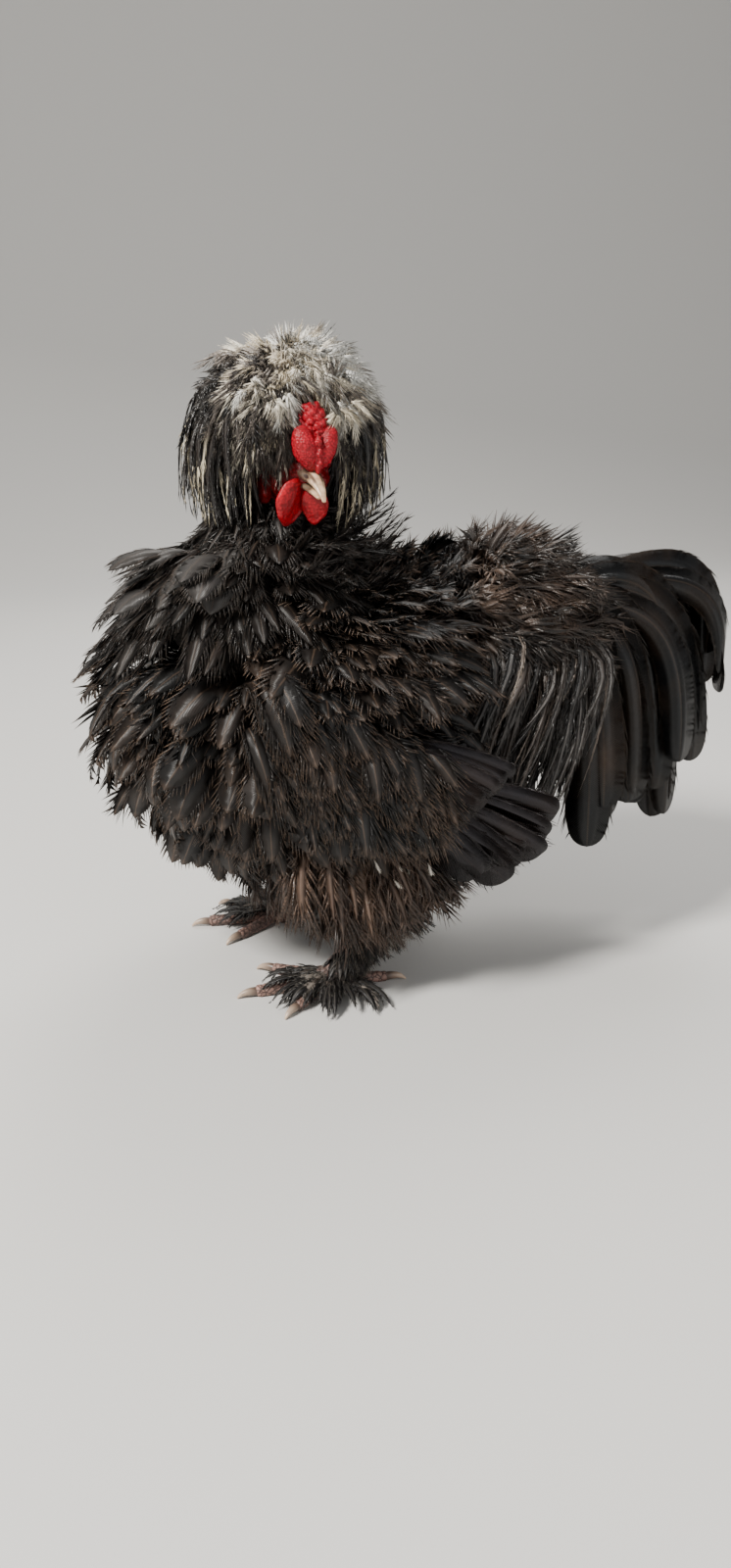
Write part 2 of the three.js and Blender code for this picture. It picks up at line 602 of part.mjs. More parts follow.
for (const [name, side] of SIDES) addNode(`eye_${name}`, EYE_BROWN, (g) => eye(side, g));
addNode("beak_upper", HORN, beakUpper);
addNode("beak_lower", HORN, beakLower);
addNode("comb", RED, comb);
for (const [name, side] of SIDES) addNode(`wattle_${name}`, RED, (g) => wattle(side, g));
for (const [name, side] of SIDES) addNode(`earlobe_${name}`, RED, (g) => earlobe(side, g));
addNode("head", RED, head);
addNode("crest", GREY, (g) => ellipsoid(CREST_KNOB, g, 12, 8), crestFeathers());
addNode("neck", BLACK, neckCore, hackleFeathers());
for (const [name, side] of SIDES) {
  const hand = { ...WING_HAND, centre: [side * WING_HAND.centre[0], ...WING_HAND.centre.slice(1)] };
  hand.turn = [WING_HAND.turn[0], 0, side * WING_HAND.turn[2]];
  addNode(`wing_${name}`, BLACK, (g) => ellipsoid(hand, g, 10, 7), wingFeathers(side));
}
for (const [name, side] of SIDES) {
  addNode(`tail_${name}`, BLACK, (g) => tailRoot(-1, g), tailFeathers(-1), side > 0);
}
for (const [name, side] of SIDES) {
  TOES.forEach((toe, k) => addNode(`claw_${name}_${k + 1}`, HORN, (g) => claw(side, toe, g)));
  addNode(`foot_${name}`, SKIN, (g) => footCore(side, g), footFeathers(side));
  addNode(`shank_${name}`, SKIN, (g) => shankCore(side, g), shankFeathers(side));
  addNode(`thigh_${name}`, BROWN, (g) => thighCore(side, g), thighFeathers(side));
}
addNode("saddle", BROWN, (g) => ellipsoid(RUMP, g, 12, 8), saddleFeathers());
addNode("torso", BLACK, (g) => ellipsoid(TORSO, g, 14, 10), torsoFeathers());

// Each node is joined, cut clear of those before it, and kept as its largest closed body. A
// feather that would lose much of itself to those before is left out.
const bird = new THREE.Group();
const cutters = [];
const touches = (one, other) =>
  [0, 1, 2].every((k) => one.min[k] < other.max[k] && one.max[k] > other.min[k]);
for (const { name, finish, core, feathers, mirrored } of plan) {
  const placed = (solid) => (mirrored ? solid.mirror([1, 0, 0]) : solid);
  const whole = placed(joined([core(0), ...feathers.map((f) => vane(f))]));
  const near = joined(cutters.filter(({ box }) => touches(box, whole.boundingBox())).map((c) => c.solid));
  const clear = feathers.filter((f) => placed(vane(f)).subtract(near).volume() > KEPT * vane(f).volume());
  let solid = placed(joined([core(0), ...clear.map((f) => vane(f))])).subtract(near);
  solid = largest(solidOf(geometryOf(largest(solid).simplify(0.1))));
  const cutter = placed(joined([core(GAP), ...clear.map((f) => vane(f, GAP))]));
  cutters.push({ solid: cutter, box: cutter.boundingBox() });
  const shape = geometryOf(solid);
  shape.computeVertexNormals();
  const piece = new THREE.Mesh(shape, new THREE.MeshStandardMaterial(finish));
  piece.name = name;
  bird.add(piece);
}

// The origin is on the floor, under the middle of the bird's outline.
const outline = new THREE.Box3().setFromObject(bird);
const middle = outline.getCenter(new THREE.Vector3());
bird.position.set(-middle.x, -middle.y, 0);

export default bird;
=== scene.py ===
import math
import bpy
import numpy as np
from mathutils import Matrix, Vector, noise


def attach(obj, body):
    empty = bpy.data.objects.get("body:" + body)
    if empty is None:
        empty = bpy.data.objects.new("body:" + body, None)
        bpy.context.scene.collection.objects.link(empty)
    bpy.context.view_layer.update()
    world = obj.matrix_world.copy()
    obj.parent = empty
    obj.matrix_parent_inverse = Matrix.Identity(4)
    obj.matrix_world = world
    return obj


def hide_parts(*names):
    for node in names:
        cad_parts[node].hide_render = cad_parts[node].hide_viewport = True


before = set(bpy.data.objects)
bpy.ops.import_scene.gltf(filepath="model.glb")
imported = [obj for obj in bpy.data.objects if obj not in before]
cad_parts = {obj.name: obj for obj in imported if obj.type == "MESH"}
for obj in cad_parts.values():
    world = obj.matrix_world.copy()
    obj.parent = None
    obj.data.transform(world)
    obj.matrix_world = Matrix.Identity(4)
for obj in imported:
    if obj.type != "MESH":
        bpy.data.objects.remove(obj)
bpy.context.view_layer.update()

# The floor and studio: a seamless sheet of pale paper that the bird stands on and that curves up
# behind it, with a soft lamp from the upper left, a weaker one from the right and one behind.
PAPER_FRONT, PAPER_BEND, PAPER_SIDE, PAPER_TOP = 6.0, -1.5, 7.0, 5.0  # in metres from the bird
BEND_RADIUS = 1.6
CAMERA_PLACE = (0.6541, -0.19935, 0.330)
AIM_DOWN, AIM_ASIDE = math.radians(18.3), math.radians(15)
LAMPS_AIM = Vector((0, 0, 0.17))
LAMPS = (  # name, place, power in watts, size and tint
    ("key_light", (0.75, -1.25, 1.55), 80, 0.4, (1.0, 0.97, 0.92)),
    ("fill_light", (1.5, 0.9, 0.7), 9, 1.4, (1.0, 0.99, 0.98)),
    ("back_light", (-1.0, 0.4, 1.5), 24, 1.0, (1.0, 0.98, 0.95)),
)


def placed(name, data):
    """Puts a new object into the scene."""
    made = bpy.data.objects.new(name, data)
    bpy.context.scene.collection.objects.link(made)
    return made


def finish_named(name, **constants):
    """A new material with its Principled BSDF, whose plain values are set on its own sockets."""
    made = bpy.data.materials.new(name)
    made.use_nodes = True
    shader = made.node_tree.nodes["Principled BSDF"]
    for key, value in constants.items():
        shader.inputs[key.replace("_", " ")].default_value = value
    return made, made.node_tree, shader


sweep = [(PAPER_FRONT, 0.0), (PAPER_BEND, 0.0)]
for angle in np.linspace(0.1, math.pi / 2, 14):
    sweep.append((PAPER_BEND - BEND_RADIUS * math.sin(angle), BEND_RADIUS - BEND_RADIUS * math.cos(angle)))
sweep.append((PAPER_BEND - BEND_RADIUS, PAPER_TOP))
paper = bpy.data.meshes.new("floor")
paper.from_pydata([(x, y, z) for x, z in sweep for y in (-PAPER_SIDE, PAPER_SIDE)], [],
                  [(2 * k, 2 * k + 1, 2 * k + 3, 2 * k + 2) for k in range(len(sweep) - 1)])
paper.polygons.foreach_set("use_smooth", [True] * len(paper.polygons))
floor_paint, tree, shader = finish_named("pale_paper", Base_Color=(0.62, 0.61, 0.59, 1), Roughness=0.9)
paper.materials.append(floor_paint)
floor = placed("floor", paper)

camera_lens = bpy.data.cameras.new("camera")
camera_lens.lens = 27
camera_lens.sensor_width = 36
camera_lens.clip_start = 0.01
camera = placed("camera", camera_lens)
camera.location = CAMERA_PLACE
looking = Vector((-math.cos(AIM_ASIDE) * math.cos(AIM_DOWN),
                  math.sin(AIM_ASIDE) * math.cos(AIM_DOWN),
                  -math.sin(AIM_DOWN)))
camera.rotation_euler = looking.to_track_quat("-Z", "Y").to_euler()
bpy.context.scene.camera = camera

for lamp_name, place, power, size, tint in LAMPS:
    lamp = bpy.data.lights.new(lamp_name, "AREA")
    lamp.energy = power
    lamp.size = size
    lamp.color = tint
    lamp_object = placed(lamp_name, lamp)
    lamp_object.location = place
    lamp_object.rotation_euler = (LAMPS_AIM - Vector(place)).to_track_quat("-Z", "Y").to_euler()
room = bpy.data.worlds.new("room")
room.use_nodes = True
room_light = room.node_tree.nodes["Background"].inputs
room_light["Color"].default_value = (0.92, 0.92, 0.92, 1)
room_light["Strength"].default_value = 0.42
bpy.context.scene.world = room

# The bare bird: black skin over the body, neck, drumsticks and rump, red skin on the face, and
# scaly feet. It is one skin, a few millimetres inside the solids' cores, and carries the coat.
ORIGIN = np.array([0.0, 63.453, 0.0])  # the origin's place in the bird's own measures, in mm
SIDES = ((1, "left"), (-1, "right"))
SKIN_DEPTH = 2.5  # how far the bare skin lies inside the cores that the feathers grow from
TORSO = {"centre": (0, 4, 150), "radii": (66, 90, 64), "turn": (-10, 0, 0)}
RUMP = {"centre": (0, 108, 192), "radii": (38, 38, 35), "turn": (0, 0, 0)}
KNOB = {"centre": (24, -11, 318), "radii": (29, 28, 26), "turn": (0, 0, 0)}
NECK_FOOT = np.array([0.0, -38.0, 196.0])
NECK_TOP = np.array([20.0, -16.0, 282.0])
HEAD_CENTRE = np.array([44.0, -12.0, 297.0])
HEAD_PITCH, HEAD_YAW = math.radians(14), math.radians(10)
EYE_CENTRE = (9, 14, 4)  # of the left eye, from the head's centre: ahead, out and up
HOCK = np.array([51.0, 35.0, 58.0])
ANKLE = np.array([48.0, 12.0, 16.0])
SOLE = np.array([48.0, 7.0, 0.0])
STEP = {1: 0, -1: -13}  # the right foot stands ahead of the left one
TOES = (  # turn from straight ahead, length, thickness, height of the root, and how far it lifts
    (4, 46, 4.3, 8, 0), (44, 38, 4.0, 7, 0), (-36, 38, 4.0, 7, 0),
    (172, 31, 3.8, 6, 0), (-142, 24, 3.4, 9, 12),
)


def metres(points):
    return (np.asarray(points, float) - ORIGIN) / 1000


def unit(rows):
    return rows / np.maximum(np.linalg.norm(rows, axis=-1, keepdims=True), 1e-9)


def turned(rows, degrees):
    """Turns rows of points about X, then Y, then Z."""
    a, b, c = np.radians(degrees)
    about_x = np.array([[1, 0, 0], [0, np.cos(a), -np.sin(a)], [0, np.sin(a), np.cos(a)]])
    about_y = np.array([[np.cos(b), 0, np.sin(b)], [0, 1, 0], [-np.sin(b), 0, np.cos(b)]])
    about_z = np.array([[np.cos(c), -np.sin(c), 0], [np.sin(c), np.cos(c), 0], [0, 0, 1]])
    return np.asarray(rows, float) @ (about_x @ about_y @ about_z).T


def on_head(rows):
    """From the head's own frame: x along the beak, y to the bird's left, z up."""
    pitch, yaw = HEAD_PITCH, HEAD_YAW
    down = np.array([[np.cos(pitch), 0, np.sin(pitch)], [0, 1, 0], [-np.sin(pitch), 0, np.cos(pitch)]])
    left = np.array([[np.cos(yaw), -np.sin(yaw), 0], [np.sin(yaw), np.cos(yaw), 0], [0, 0, 1]])
    return np.asarray(rows, float) @ (left @ down).T + HEAD_CENTRE


def ball(centre, radii, turn=(0, 0, 0), around=48, down=32, shape=None):
    """A closed ellipsoid. shape may move the points of the unit ball first."""
    steps = np.linspace(0, 2 * np.pi, around, endpoint=False)
    rows = [np.array([[0, 0, 1.0]])]
    for k in range(1, down):
        polar = math.pi * k / down
        rows.append(np.stack([np.sin(polar) * np.cos(steps), np.sin(polar) * np.sin(steps),
                              np.full(around, np.cos(polar))], 1))
    rows.append(np.array([[0, 0, -1.0]]))
    points = np.concatenate(rows)
    if shape is not None:
        points = shape(points)
    points = turned(points * np.array(radii, float), turn) + np.array(centre, float)
    faces = []
    last = len(points) - 1
    for j in range(around):
        after = (j + 1) % around
        faces.append((0, 1 + j, 1 + after))
        for k in range(down - 2):
            a, b = 1 + k * around + j, 1 + k * around + after
            faces.append((a, a + around, b + around, b))
        faces.append((last, last - around + after, last - around + j))
    return points, faces


def bowed(start, middle, end, t):
    """Where a curve is at the share t of its way: it leaves start for middle and bows in to end."""
    return (1 - t) ** 2 * start + 2 * t * (1 - t) * middle + t * t * end


def limb(path, wide, high=None, across=(1, 0, 0), sides=16, rings=12, shape=None):
    """A closed round body along a smooth path. wide and high are half sizes at even steps."""
    path = np.asarray(path, float)
    t = np.linspace(0, 1, rings + 1)
    if len(path) == 3:
        middles = bowed(*path, t[:, None])
    else:
        middles = np.stack([np.interp(t, np.linspace(0, 1, len(path)), path[:, k]) for k in range(3)], 1)
        for _ in range(2):
            middles[1:-1] = (middles[:-2] + 2 * middles[1:-1] + middles[2:]) / 4
    along = unit(np.gradient(middles, axis=0))
    across = np.array(across, float)
    side = unit(across[None, :] - along * (along @ across)[:, None])
    face = np.cross(side, along)
    half = np.interp(t, np.linspace(0, 1, len(wide)), wide)
    rise = half if high is None else np.interp(t, np.linspace(0, 1, len(high)), high)
    angle = np.linspace(0, 2 * np.pi, sides, endpoint=False)
    points = []
    for k in range(rings + 1):
        c, s = np.cos(angle), np.sin(angle)
        if shape is not None:
            c, s = shape(t[k], c, s)
        points.append(middles[k] + np.outer(c * half[k], side[k]) + np.outer(s * rise[k], face[k]))
    points.append(middles[:1] - along[:1] * half[0] * 0.35)
    points.append(middles[-1:] + along[-1:] * half[-1] * 0.5)
    points = np.concatenate(points)
    faces = []
    first, final = len(points) - 2, len(points) - 1
    for j in range(sides):
        after = (j + 1) % sides
        for k in range(rings):
            a, b = k * sides + j, k * sides + after
            faces.append((a, b, b + sides, a + sides))
        faces.append((first, after, j))
        faces.append((final, rings * sides + j, rings * sides + after))
    return points, faces


def joined(parts):
    points, faces, start = [], [], 0
    for some_points, some_faces in parts:
        points.append(some_points)
        faces.extend(tuple(i + start for i in face) for face in some_faces)
        start += len(some_points)
    return np.concatenate(points), faces


def mesh_of(name, points, faces):
    mesh = bpy.data.meshes.new(name)
    mesh.from_pydata(metres(points).tolist(), [], faces)
    mesh.update()
    return mesh


def fused(name, parts, voxel, passes):
    """Melts overlapping bodies into one closed mesh with soft joins, and gives it back in mm."""
    raw = placed(name + "_raw", mesh_of(name + "_raw", *joined(parts)))
    remesh = raw.modifiers.new("melt", "REMESH")
    remesh.mode = "VOXEL"
    remesh.voxel_size = voxel / 1000
    soften = raw.modifiers.new("soften", "SMOOTH")
    soften.factor = 0.5
    soften.iterations = passes
    done = bpy.data.meshes.new_from_object(raw.evaluated_get(bpy.context.evaluated_depsgraph_get()))
    points = np.empty(len(done.vertices) * 3)
    done.vertices.foreach_get("co", points)
    normals = np.empty(len(done.vertices) * 3)
    done.vertex_normals.foreach_get("vector", normals)
    faces = [tuple(face.vertices) for face in done.polygons]
    bpy.data.objects.remove(raw)
    return points.reshape(-1, 3) * 1000 + ORIGIN, faces, normals.reshape(-1, 3)


def bumpy(points, normals, depth, size, seed=0.0):
    """Moves points along their normals by cloud noise of a given depth and grain, both in mm."""
    shift = Vector((seed, seed, seed))
    lift = np.array([noise.fractal(Vector(p / size) + shift, 0.7, 2.1, 3) for p in points])
    return points + normals * (depth * lift)[:, None]


def narrow_skull(p):
    p = p.copy()
    front = np.maximum(p[:, 0], 0)
    p[:, 1] *= 1 - 0.42 * front * front
    p[:, 2] *= 1 - 0.34 * front * front
    p[:, 2] -= 0.12 * front
    return p


def toe_path(side, turn, length, rise, lifted):
    """Which way a toe points, and its path from the sole to the root of its claw."""
    b = math.radians(side * turn)
    out = np.array([math.sin(b), -math.cos(b), 0.0])
    start = np.array([side * SOLE[0], SOLE[1] + STEP[side], SOLE[2]])
    heights = ((0, rise + 1), (0.35, 4.2), (0.7, 3.0), (1, 2.8))
    return out, [start + out * d * length + np.array([0, 0, z + lifted * d]) for d, z in heights]


body_parts = [ball(core["centre"], np.array(core["radii"]) - SKIN_DEPTH, core["turn"])
              for core in (TORSO, RUMP, KNOB)]
body_parts.append(limb([NECK_FOOT, (NECK_FOOT + NECK_TOP) / 2, NECK_TOP], (38.5, 22.5)))
for side in (1, -1):
    body_parts.append(ball((side * 12.5, 142, 202), (10, 22, 17)))
    body_parts.append(ball((side * 77, 2, 156), (8, 43, 25), (-24, 0, side * -6)))
    body_parts.append(limb([(side * 38, 2, 112), (side * 47, 14, 82), (side * 51, 34, 58)], (25, 17, 7.5)))
body_points, body_faces, body_normals = fused("body", body_parts, 3.2, 4)
body_points = bumpy(body_points, body_normals, 0.9, 9.0)

head_parts = [
    ball((0, 0, 0), (25.6, 16.2, 18.6), shape=narrow_skull, around=72, down=48),
    limb([(-12, 0, -6), (-8, 0, -22), (-16, 0, -36)], (13, 12, 17), rings=18, sides=32),
    limb([(6, 0, -8), (14, 0, -13), (20, 0, -13)], (10, 7.5, 4), (6, 5, 3), (0, 1, 0)),
    ball((17, 0, 1.2), (9.6, 9.0, 7.6), (0, -8, 0)),
]
for side in (1, -1):
    rim = [(EYE_CENTRE[0] + 5.4 * math.cos(a),
            side * (14.6 + 0.35 * math.cos(a)),
            EYE_CENTRE[2] + 5.0 * math.sin(a))
           for a in np.linspace(0, 2 * math.pi, 25)]
    for start in range(0, 24, 2):
        thick = 1.25 if 2 <= start <= 10 else 1.0
        head_parts.append(limb(rim[start:start + 3], (thick, thick), rings=4, sides=10))
    head_parts.append(ball((11, side * 12.5, -3.5), (9, 4.4, 4.2), (0, 18, side * -16)))
    head_parts.append(ball((9, side * 11.5, 11.2), (9.5, 4.2, 2.6), (0, -6, side * -14)))
head_parts = [(on_head(points), faces) for points, faces in head_parts]
head_points, head_faces, head_normals = fused("head", head_parts, 0.8, 3)
head_points = bumpy(head_points, head_normals, 0.75, 3.2, 4.0)

leg_parts = []
for side in (1, -1):
    hock = HOCK * (side, 1, 1)
    ankle = ANKLE * (side, 1, 1) + (0, STEP[side], 0)
    shin = [hock + np.array([0, -1, 10]), hock, (hock + ankle) / 2, ankle, ankle + np.array([0, -4, -6])]
    leg_parts.append(limb(shin, (7, 7.4, 5.6, 5.5, 6.6), rings=20, sides=24))
    for share in np.linspace(0.15, 0.95, 11):
        scute = hock + (ankle - hock) * share + np.array([0, -2.3, -0.6])
        leg_parts.append(ball(scute, (4.6, 4.3, 2.3), (-28, 0, 0), 16, 10))
    leg_parts.append(ball((side * 48, 8 + STEP[side], 5.5), (10, 11, 6.5), around=24, down=16))
    for turn, length, thick, rise, lifted in TOES:
        out, path = toe_path(side, turn, length, rise, lifted)
        across = np.cross(out, [0, 0, 1])
        leg_parts.append(limb(path, (thick + 0.4, thick - 0.2, thick - 0.9), None, across, 16, 14))
        for share in np.linspace(0.22, 0.97, max(4, int(length / 4.2))):
            middle = np.array([np.interp(share, (0, 0.35, 0.7, 1), [p[k] for p in path]) for k in range(3)])
            size = thick - 0.9 * share
            pad = ball(middle + np.array([0, 0, 0.9]), (size, size, size * 0.92), around=14, down=8)
            leg_parts.append(pad)
leg_points, leg_faces, leg_normals = fused("legs", leg_parts, 0.9, 2)
leg_points = bumpy(leg_points, leg_normals, 0.25, 1.6, 9.0)
leg_points[:, 2] = np.maximum(leg_points[:, 2], 0.05)


def feed(tree, into, sockets):
    """Gives a node's sockets constants or the outputs of other nodes."""
    for key, value in sockets.items():
        if isinstance(value, bpy.types.NodeSocket):
            tree.links.new(value, into.inputs[key])
        else:
            into.inputs[key].default_value = value


def node(tree, kind, sockets=None, **settings):
    """Adds a node with its settings and feeds its sockets."""
    made = tree.nodes.new(kind)
    for key, value in settings.items():
        setattr(made, key, value)
    feed(tree, made, sockets or {})
    return made


def blended(tree, share, first, second):
    """Mixes two colours."""
    return node(tree, "ShaderNodeMix", {0: share, 6: first, 7: second}, data_type="RGBA").outputs[2]


def mapped(tree, value, low, high, to_low=0.0, to_high=1.0):
    """Reads value from low to high as a share from to_low to to_high."""
    ends = {"From Min": low, "From Max": high, "To Min": to_low, "To Max": to_high}
    return node(tree, "ShaderNodeMapRange", {"Value": value, **ends}).outputs["Result"]


def calc(tree, operation, first, second=0.0):
    return node(tree, "ShaderNodeMath", {0: first, 1: second}, operation=operation).outputs[0]


def grain(tree, scale, detail):
    """Cloudy grain that keeps its place on the bird."""
    place = node(tree, "ShaderNodeTexCoord").outputs["Object"]
    sockets = {"Vector": place, "Scale": scale, "Detail": detail}
    return node(tree, "ShaderNodeTexNoise", sockets).outputs["Fac"]


def cells(tree, scale, feature="F1"):
    """Small cells in the skin: how far a point is from their middles, or from their edges."""
    place = node(tree, "ShaderNodeTexCoord").outputs["Object"]
    sockets = {"Vector": place, "Scale": scale}
    return node(tree, "ShaderNodeTexVoronoi", sockets, feature=feature).outputs["Distance"]


def bumped(tree, height, strength, depth):
    """The normal of a rough surface. depth is in metres."""
    sockets = {"Height": height, "Strength": strength, "Distance": depth}
    return node(tree, "ShaderNodeBump", sockets).outputs["Normal"]


def shared_effect(name, inputs, outputs):
    """An empty node group, its inputs' sockets and its output node."""
    tree = bpy.data.node_groups.new(name, "ShaderNodeTree")
    for title, kind, value in inputs:
        socket = tree.interface.new_socket(title, in_out="INPUT", socket_type=kind)
        socket.default_value = value
    for title, kind in outputs:
        tree.interface.new_socket(title, in_out="OUTPUT", socket_type=kind)
    return tree, tree.nodes.new("NodeGroupInput").outputs, tree.nodes.new("NodeGroupOutput")


def with_effect(tree, effect, sockets):
    """Places a shared effect with values of its own."""
    return node(tree, "ShaderNodeGroup", sockets, node_tree=effect).outputs


# brown cast that lies in patches over the black plumage and the skin under it
patches, come, go = shared_effect("brown_patches", (
    ("Black", "NodeSocketColor", (0.008, 0.007, 0.006, 1)),
    ("Brown", "NodeSocketColor", (0.09, 0.055, 0.036, 1)),
    ("Amount", "NodeSocketFloat", 0.5),
), (("Color", "NodeSocketColor"),))
share = calc(patches, "MULTIPLY", mapped(patches, grain(patches, 21.0, 3.0), 0.42, 0.66), come["Amount"])
feed(patches, go, {"Color": blended(patches, share, come["Black"], come["Brown"])})

# body skin with the pits that the quills grow from
body_skin, tree, shader = finish_named("body_skin", Roughness=0.72)
cast = with_effect(tree, patches, {"Amount": 0.6, "Black": (0.013, 0.011, 0.01, 1),
                                   "Brown": (0.04, 0.026, 0.018, 1)})
feed(tree, shader, {"Base Color": cast["Color"], "Normal": bumped(tree, cells(tree, 420.0), 0.5, 0.0006)})

# small beads that cover the bare red skin, their red darker between them where they lie low: painted shade,
# with some random grain
papillae, come, go = shared_effect("papillae", (
    ("Scale", "NodeSocketFloat", 700.0),
    ("Light", "NodeSocketColor", (0.7, 0.008, 0.02, 1)),
    ("Deep Shaded", "NodeSocketColor", (0.26, 0.001, 0.005, 1)),
), (("Color", "NodeSocketColor"), ("Height", "NodeSocketFloat"), ("Roughness", "NodeSocketFloat")))
pits = cells(papillae, come["Scale"])
raised = calc(papillae, "MULTIPLY", calc(papillae, "SUBTRACT", 0.75, pits), 0.55)
depth = calc(papillae, "ADD", raised, calc(papillae, "MULTIPLY", grain(papillae, 110.0, 5.0), 0.7))
# the red follows the beads' height: the deep red low between them is painted shade
feed(papillae, go, {
    "Color": blended(papillae, mapped(papillae, depth, 0.35, 0.85), come["Deep Shaded"], come["Light"]),
    "Height": depth,
    "Roughness": mapped(papillae, pits, 0.0, 0.8, 0.3, 0.52),
})


def red_skin(name, scale, light, shaded_deep, strength):
    """Bare red skin: small beads, a moist surface and light that sinks a little way in."""
    made, tree, shader = finish_named(name, Subsurface_Weight=0.08, Subsurface_Scale=0.002, Coat_Weight=0.06,
                                      Coat_Roughness=0.3, Specular_IOR_Level=0.3,
                                      Subsurface_Radius=(1.0, 0.25, 0.15))
    # the deep red is painted shade between the beads
    beaded = with_effect(tree, papillae, {"Scale": scale, "Light": light, "Deep Shaded": shaded_deep})
    feed(tree, shader, {"Base Color": beaded["Color"], "Roughness": beaded["Roughness"],
                        "Normal": bumped(tree, beaded["Height"], strength, 0.0007)})
    return made


# the face's red is darker than the comb's: painted shade, for the face lies in the crest's shadow
face_skin_shaded = red_skin("face_skin_shaded", 620.0, (0.3, 0.002, 0.006, 1), (0.1, 0.0008, 0.002, 1), 0.8)

# grey-brown plates on the shanks and toes, dark in the seams between them
scales, tree, shader = finish_named("scaly_skin", Roughness=0.55)
plates = cells(tree, 330.0, "DISTANCE_TO_EDGE")
hide = blended(tree, mapped(tree, grain(tree, 60.0, 4.0), 0.35, 0.68),
               (0.1, 0.062, 0.052, 1), (0.36, 0.21, 0.17, 1))
plated = blended(tree, mapped(tree, plates, 0.0, 0.12), (0.03, 0.02, 0.018, 1), hide)
feed(tree, shader, {"Base Color": plated,
                    "Normal": bumped(tree, mapped(tree, plates, 0.0, 0.2), 0.6, 0.0006)})


def unwrapped(points, centre):
    """A flat place for each point: its turn round a centre's upright axis and its angle off the top."""
    d = unit(np.asarray(points, float) - np.array(centre, float))
    turn = np.arctan2(d[:, 0], -d[:, 1]) / (2 * np.pi) + 0.5
    return np.stack([turn, np.arccos(np.clip(d[:, 2], -1, 1)) / np.pi], 1)


def add_map(mesh, title, rows):
    """A UV map from a pair of numbers for each point."""
    corners = np.empty(len(mesh.loops), int)
    mesh.loops.foreach_get("vertex_index", corners)
    layer = mesh.uv_layers.new(name=title)
    layer.data.foreach_set("uv", rows[corners].astype(np.float32).ravel())


def fixed(name, mesh, stands_for):
    """Fixes a mesh to the bird as one piece, in place of the CAD nodes it stands for."""
    piece = placed(name, mesh)
    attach(piece, "root")
    if stands_for:
        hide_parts(*stands_for)
    return piece


def made_piece(name, points, faces, finishes, slot, *stands_for, centre=None):
    """A smooth piece of flesh or horn with its bake map."""
    mesh = mesh_of(name, points, faces)
    for finish in finishes:
        mesh.materials.append(finish)
    mesh.polygons.foreach_set("use_smooth", np.ones(len(mesh.polygons), bool))
    add_map(mesh, "OFBake", unwrapped(points, np.mean(points, 0) if centre is None else centre))
    return fixed(name, mesh, stands_for)


skin_points, skin_faces = joined([(body_points, body_faces), (head_points, head_faces),
                                  (leg_points, leg_faces)])
skin = made_piece("skin", skin_points, skin_faces, [body_skin, face_skin_shaded, scales], "leg_skin",
                  "torso", "neck", "head", "thigh_left", "thigh_right", "shank_left", "shank_right",
                  "foot_left", "foot_right", centre=TORSO["centre"])
zones = np.repeat([0, 1, 2], [len(body_faces), len(head_faces), len(leg_faces)])
skin.data.polygons.foreach_set("material_index", zones)

# The eyes: dark brown irises round black pupils, under a clear wet cornea that bulges a little.
# Each sits in its ring of lid, and the crest hides most of it.
EYE_WIDTH, EYE_DEPTH = 4.6, 4.2  # half sizes


def map_pair(tree, title):
    """The two numbers of each point in a UV map."""
    flat = node(tree, "ShaderNodeUVMap", uv_map=title).outputs[0]
    return node(tree, "ShaderNodeSeparateXYZ", {0: flat}).outputs


def cornea(p):
    p = p.copy()
    p[:, 2] += 0.1 * np.clip(p[:, 2], 0, 1) ** 6
    return p


eye_glass, tree, shader = finish_named("eye_wet", Roughness=0.06, Coat_Weight=1.0, Coat_Roughness=0.02)
off_pupil = map_pair(tree, "Iris")[1]
iris = blended(tree, grain(tree, 2400.0, 2.0), (0.05, 0.016, 0.004, 1), (0.2, 0.075, 0.018, 1))
ringed = blended(tree, mapped(tree, off_pupil, 0.255, 0.27), iris, (0.012, 0.006, 0.004, 1))
pupil_edge = mapped(tree, off_pupil, 0.125, 0.135)
feed(tree, shader, {"Base Color": blended(tree, pupil_edge, (0.003, 0.003, 0.003, 1), ringed)})
for side, word in SIDES:
    points, faces = ball((0, 0, 0), (EYE_WIDTH, EYE_WIDTH, EYE_DEPTH), around=40, down=36, shape=cornea)
    off_axis = np.arccos(np.clip(points[:, 2] / EYE_DEPTH, -1, 1)) / np.pi
    points = turned(points, (-side * 90, 0, 0)) + np.array(EYE_CENTRE) * (1, side, 1)
    eye = made_piece("real_eye_" + word, on_head(points), faces, [eye_glass], "eye", "eye_" + word)
    add_map(eye.data, "Iris", np.stack([np.zeros(len(points)), off_axis], 1))

# The beak: two halves of pale horn. The upper one hooks over the lower, has a dark streak down its ridge and
# a nostril slit each side, and both grow out of the red face. The slits are darkened with painted shade, and
# the root is darker, partly horn colour and partly painted shade where it meets the face.
RIDGE = 0.62  # where the dark streak lies, as a share of the way from the ridge to the edge
SLIT_CENTRE, SLIT_RADII = (30.5, 4.8, 2.6), (2.6, 2.2, 1.05)
horn, tree, shader = finish_named("beak_horn", Roughness=0.34, Coat_Weight=0.25, Coat_Roughness=0.2,
                                  Subsurface_Weight=0.08, Subsurface_Scale=0.002)
across_along = map_pair(tree, "Horn")
growth = grain(tree, 260.0, 4.0)
pale = blended(tree, mapped(tree, growth, 0.35, 0.7), (0.42, 0.25, 0.14, 1), (0.74, 0.55, 0.36, 1))
wander = calc(tree, "MULTIPLY", calc(tree, "SUBTRACT", growth, 0.5), 0.22)
edge = calc(tree, "ADD", across_along[0], wander)
length = calc(tree, "ADD", across_along[1], wander)
band = mapped(tree, calc(tree, "ABSOLUTE", calc(tree, "SUBTRACT", edge, RIDGE)), 0.32, 0.12, 0.0, 0.85)
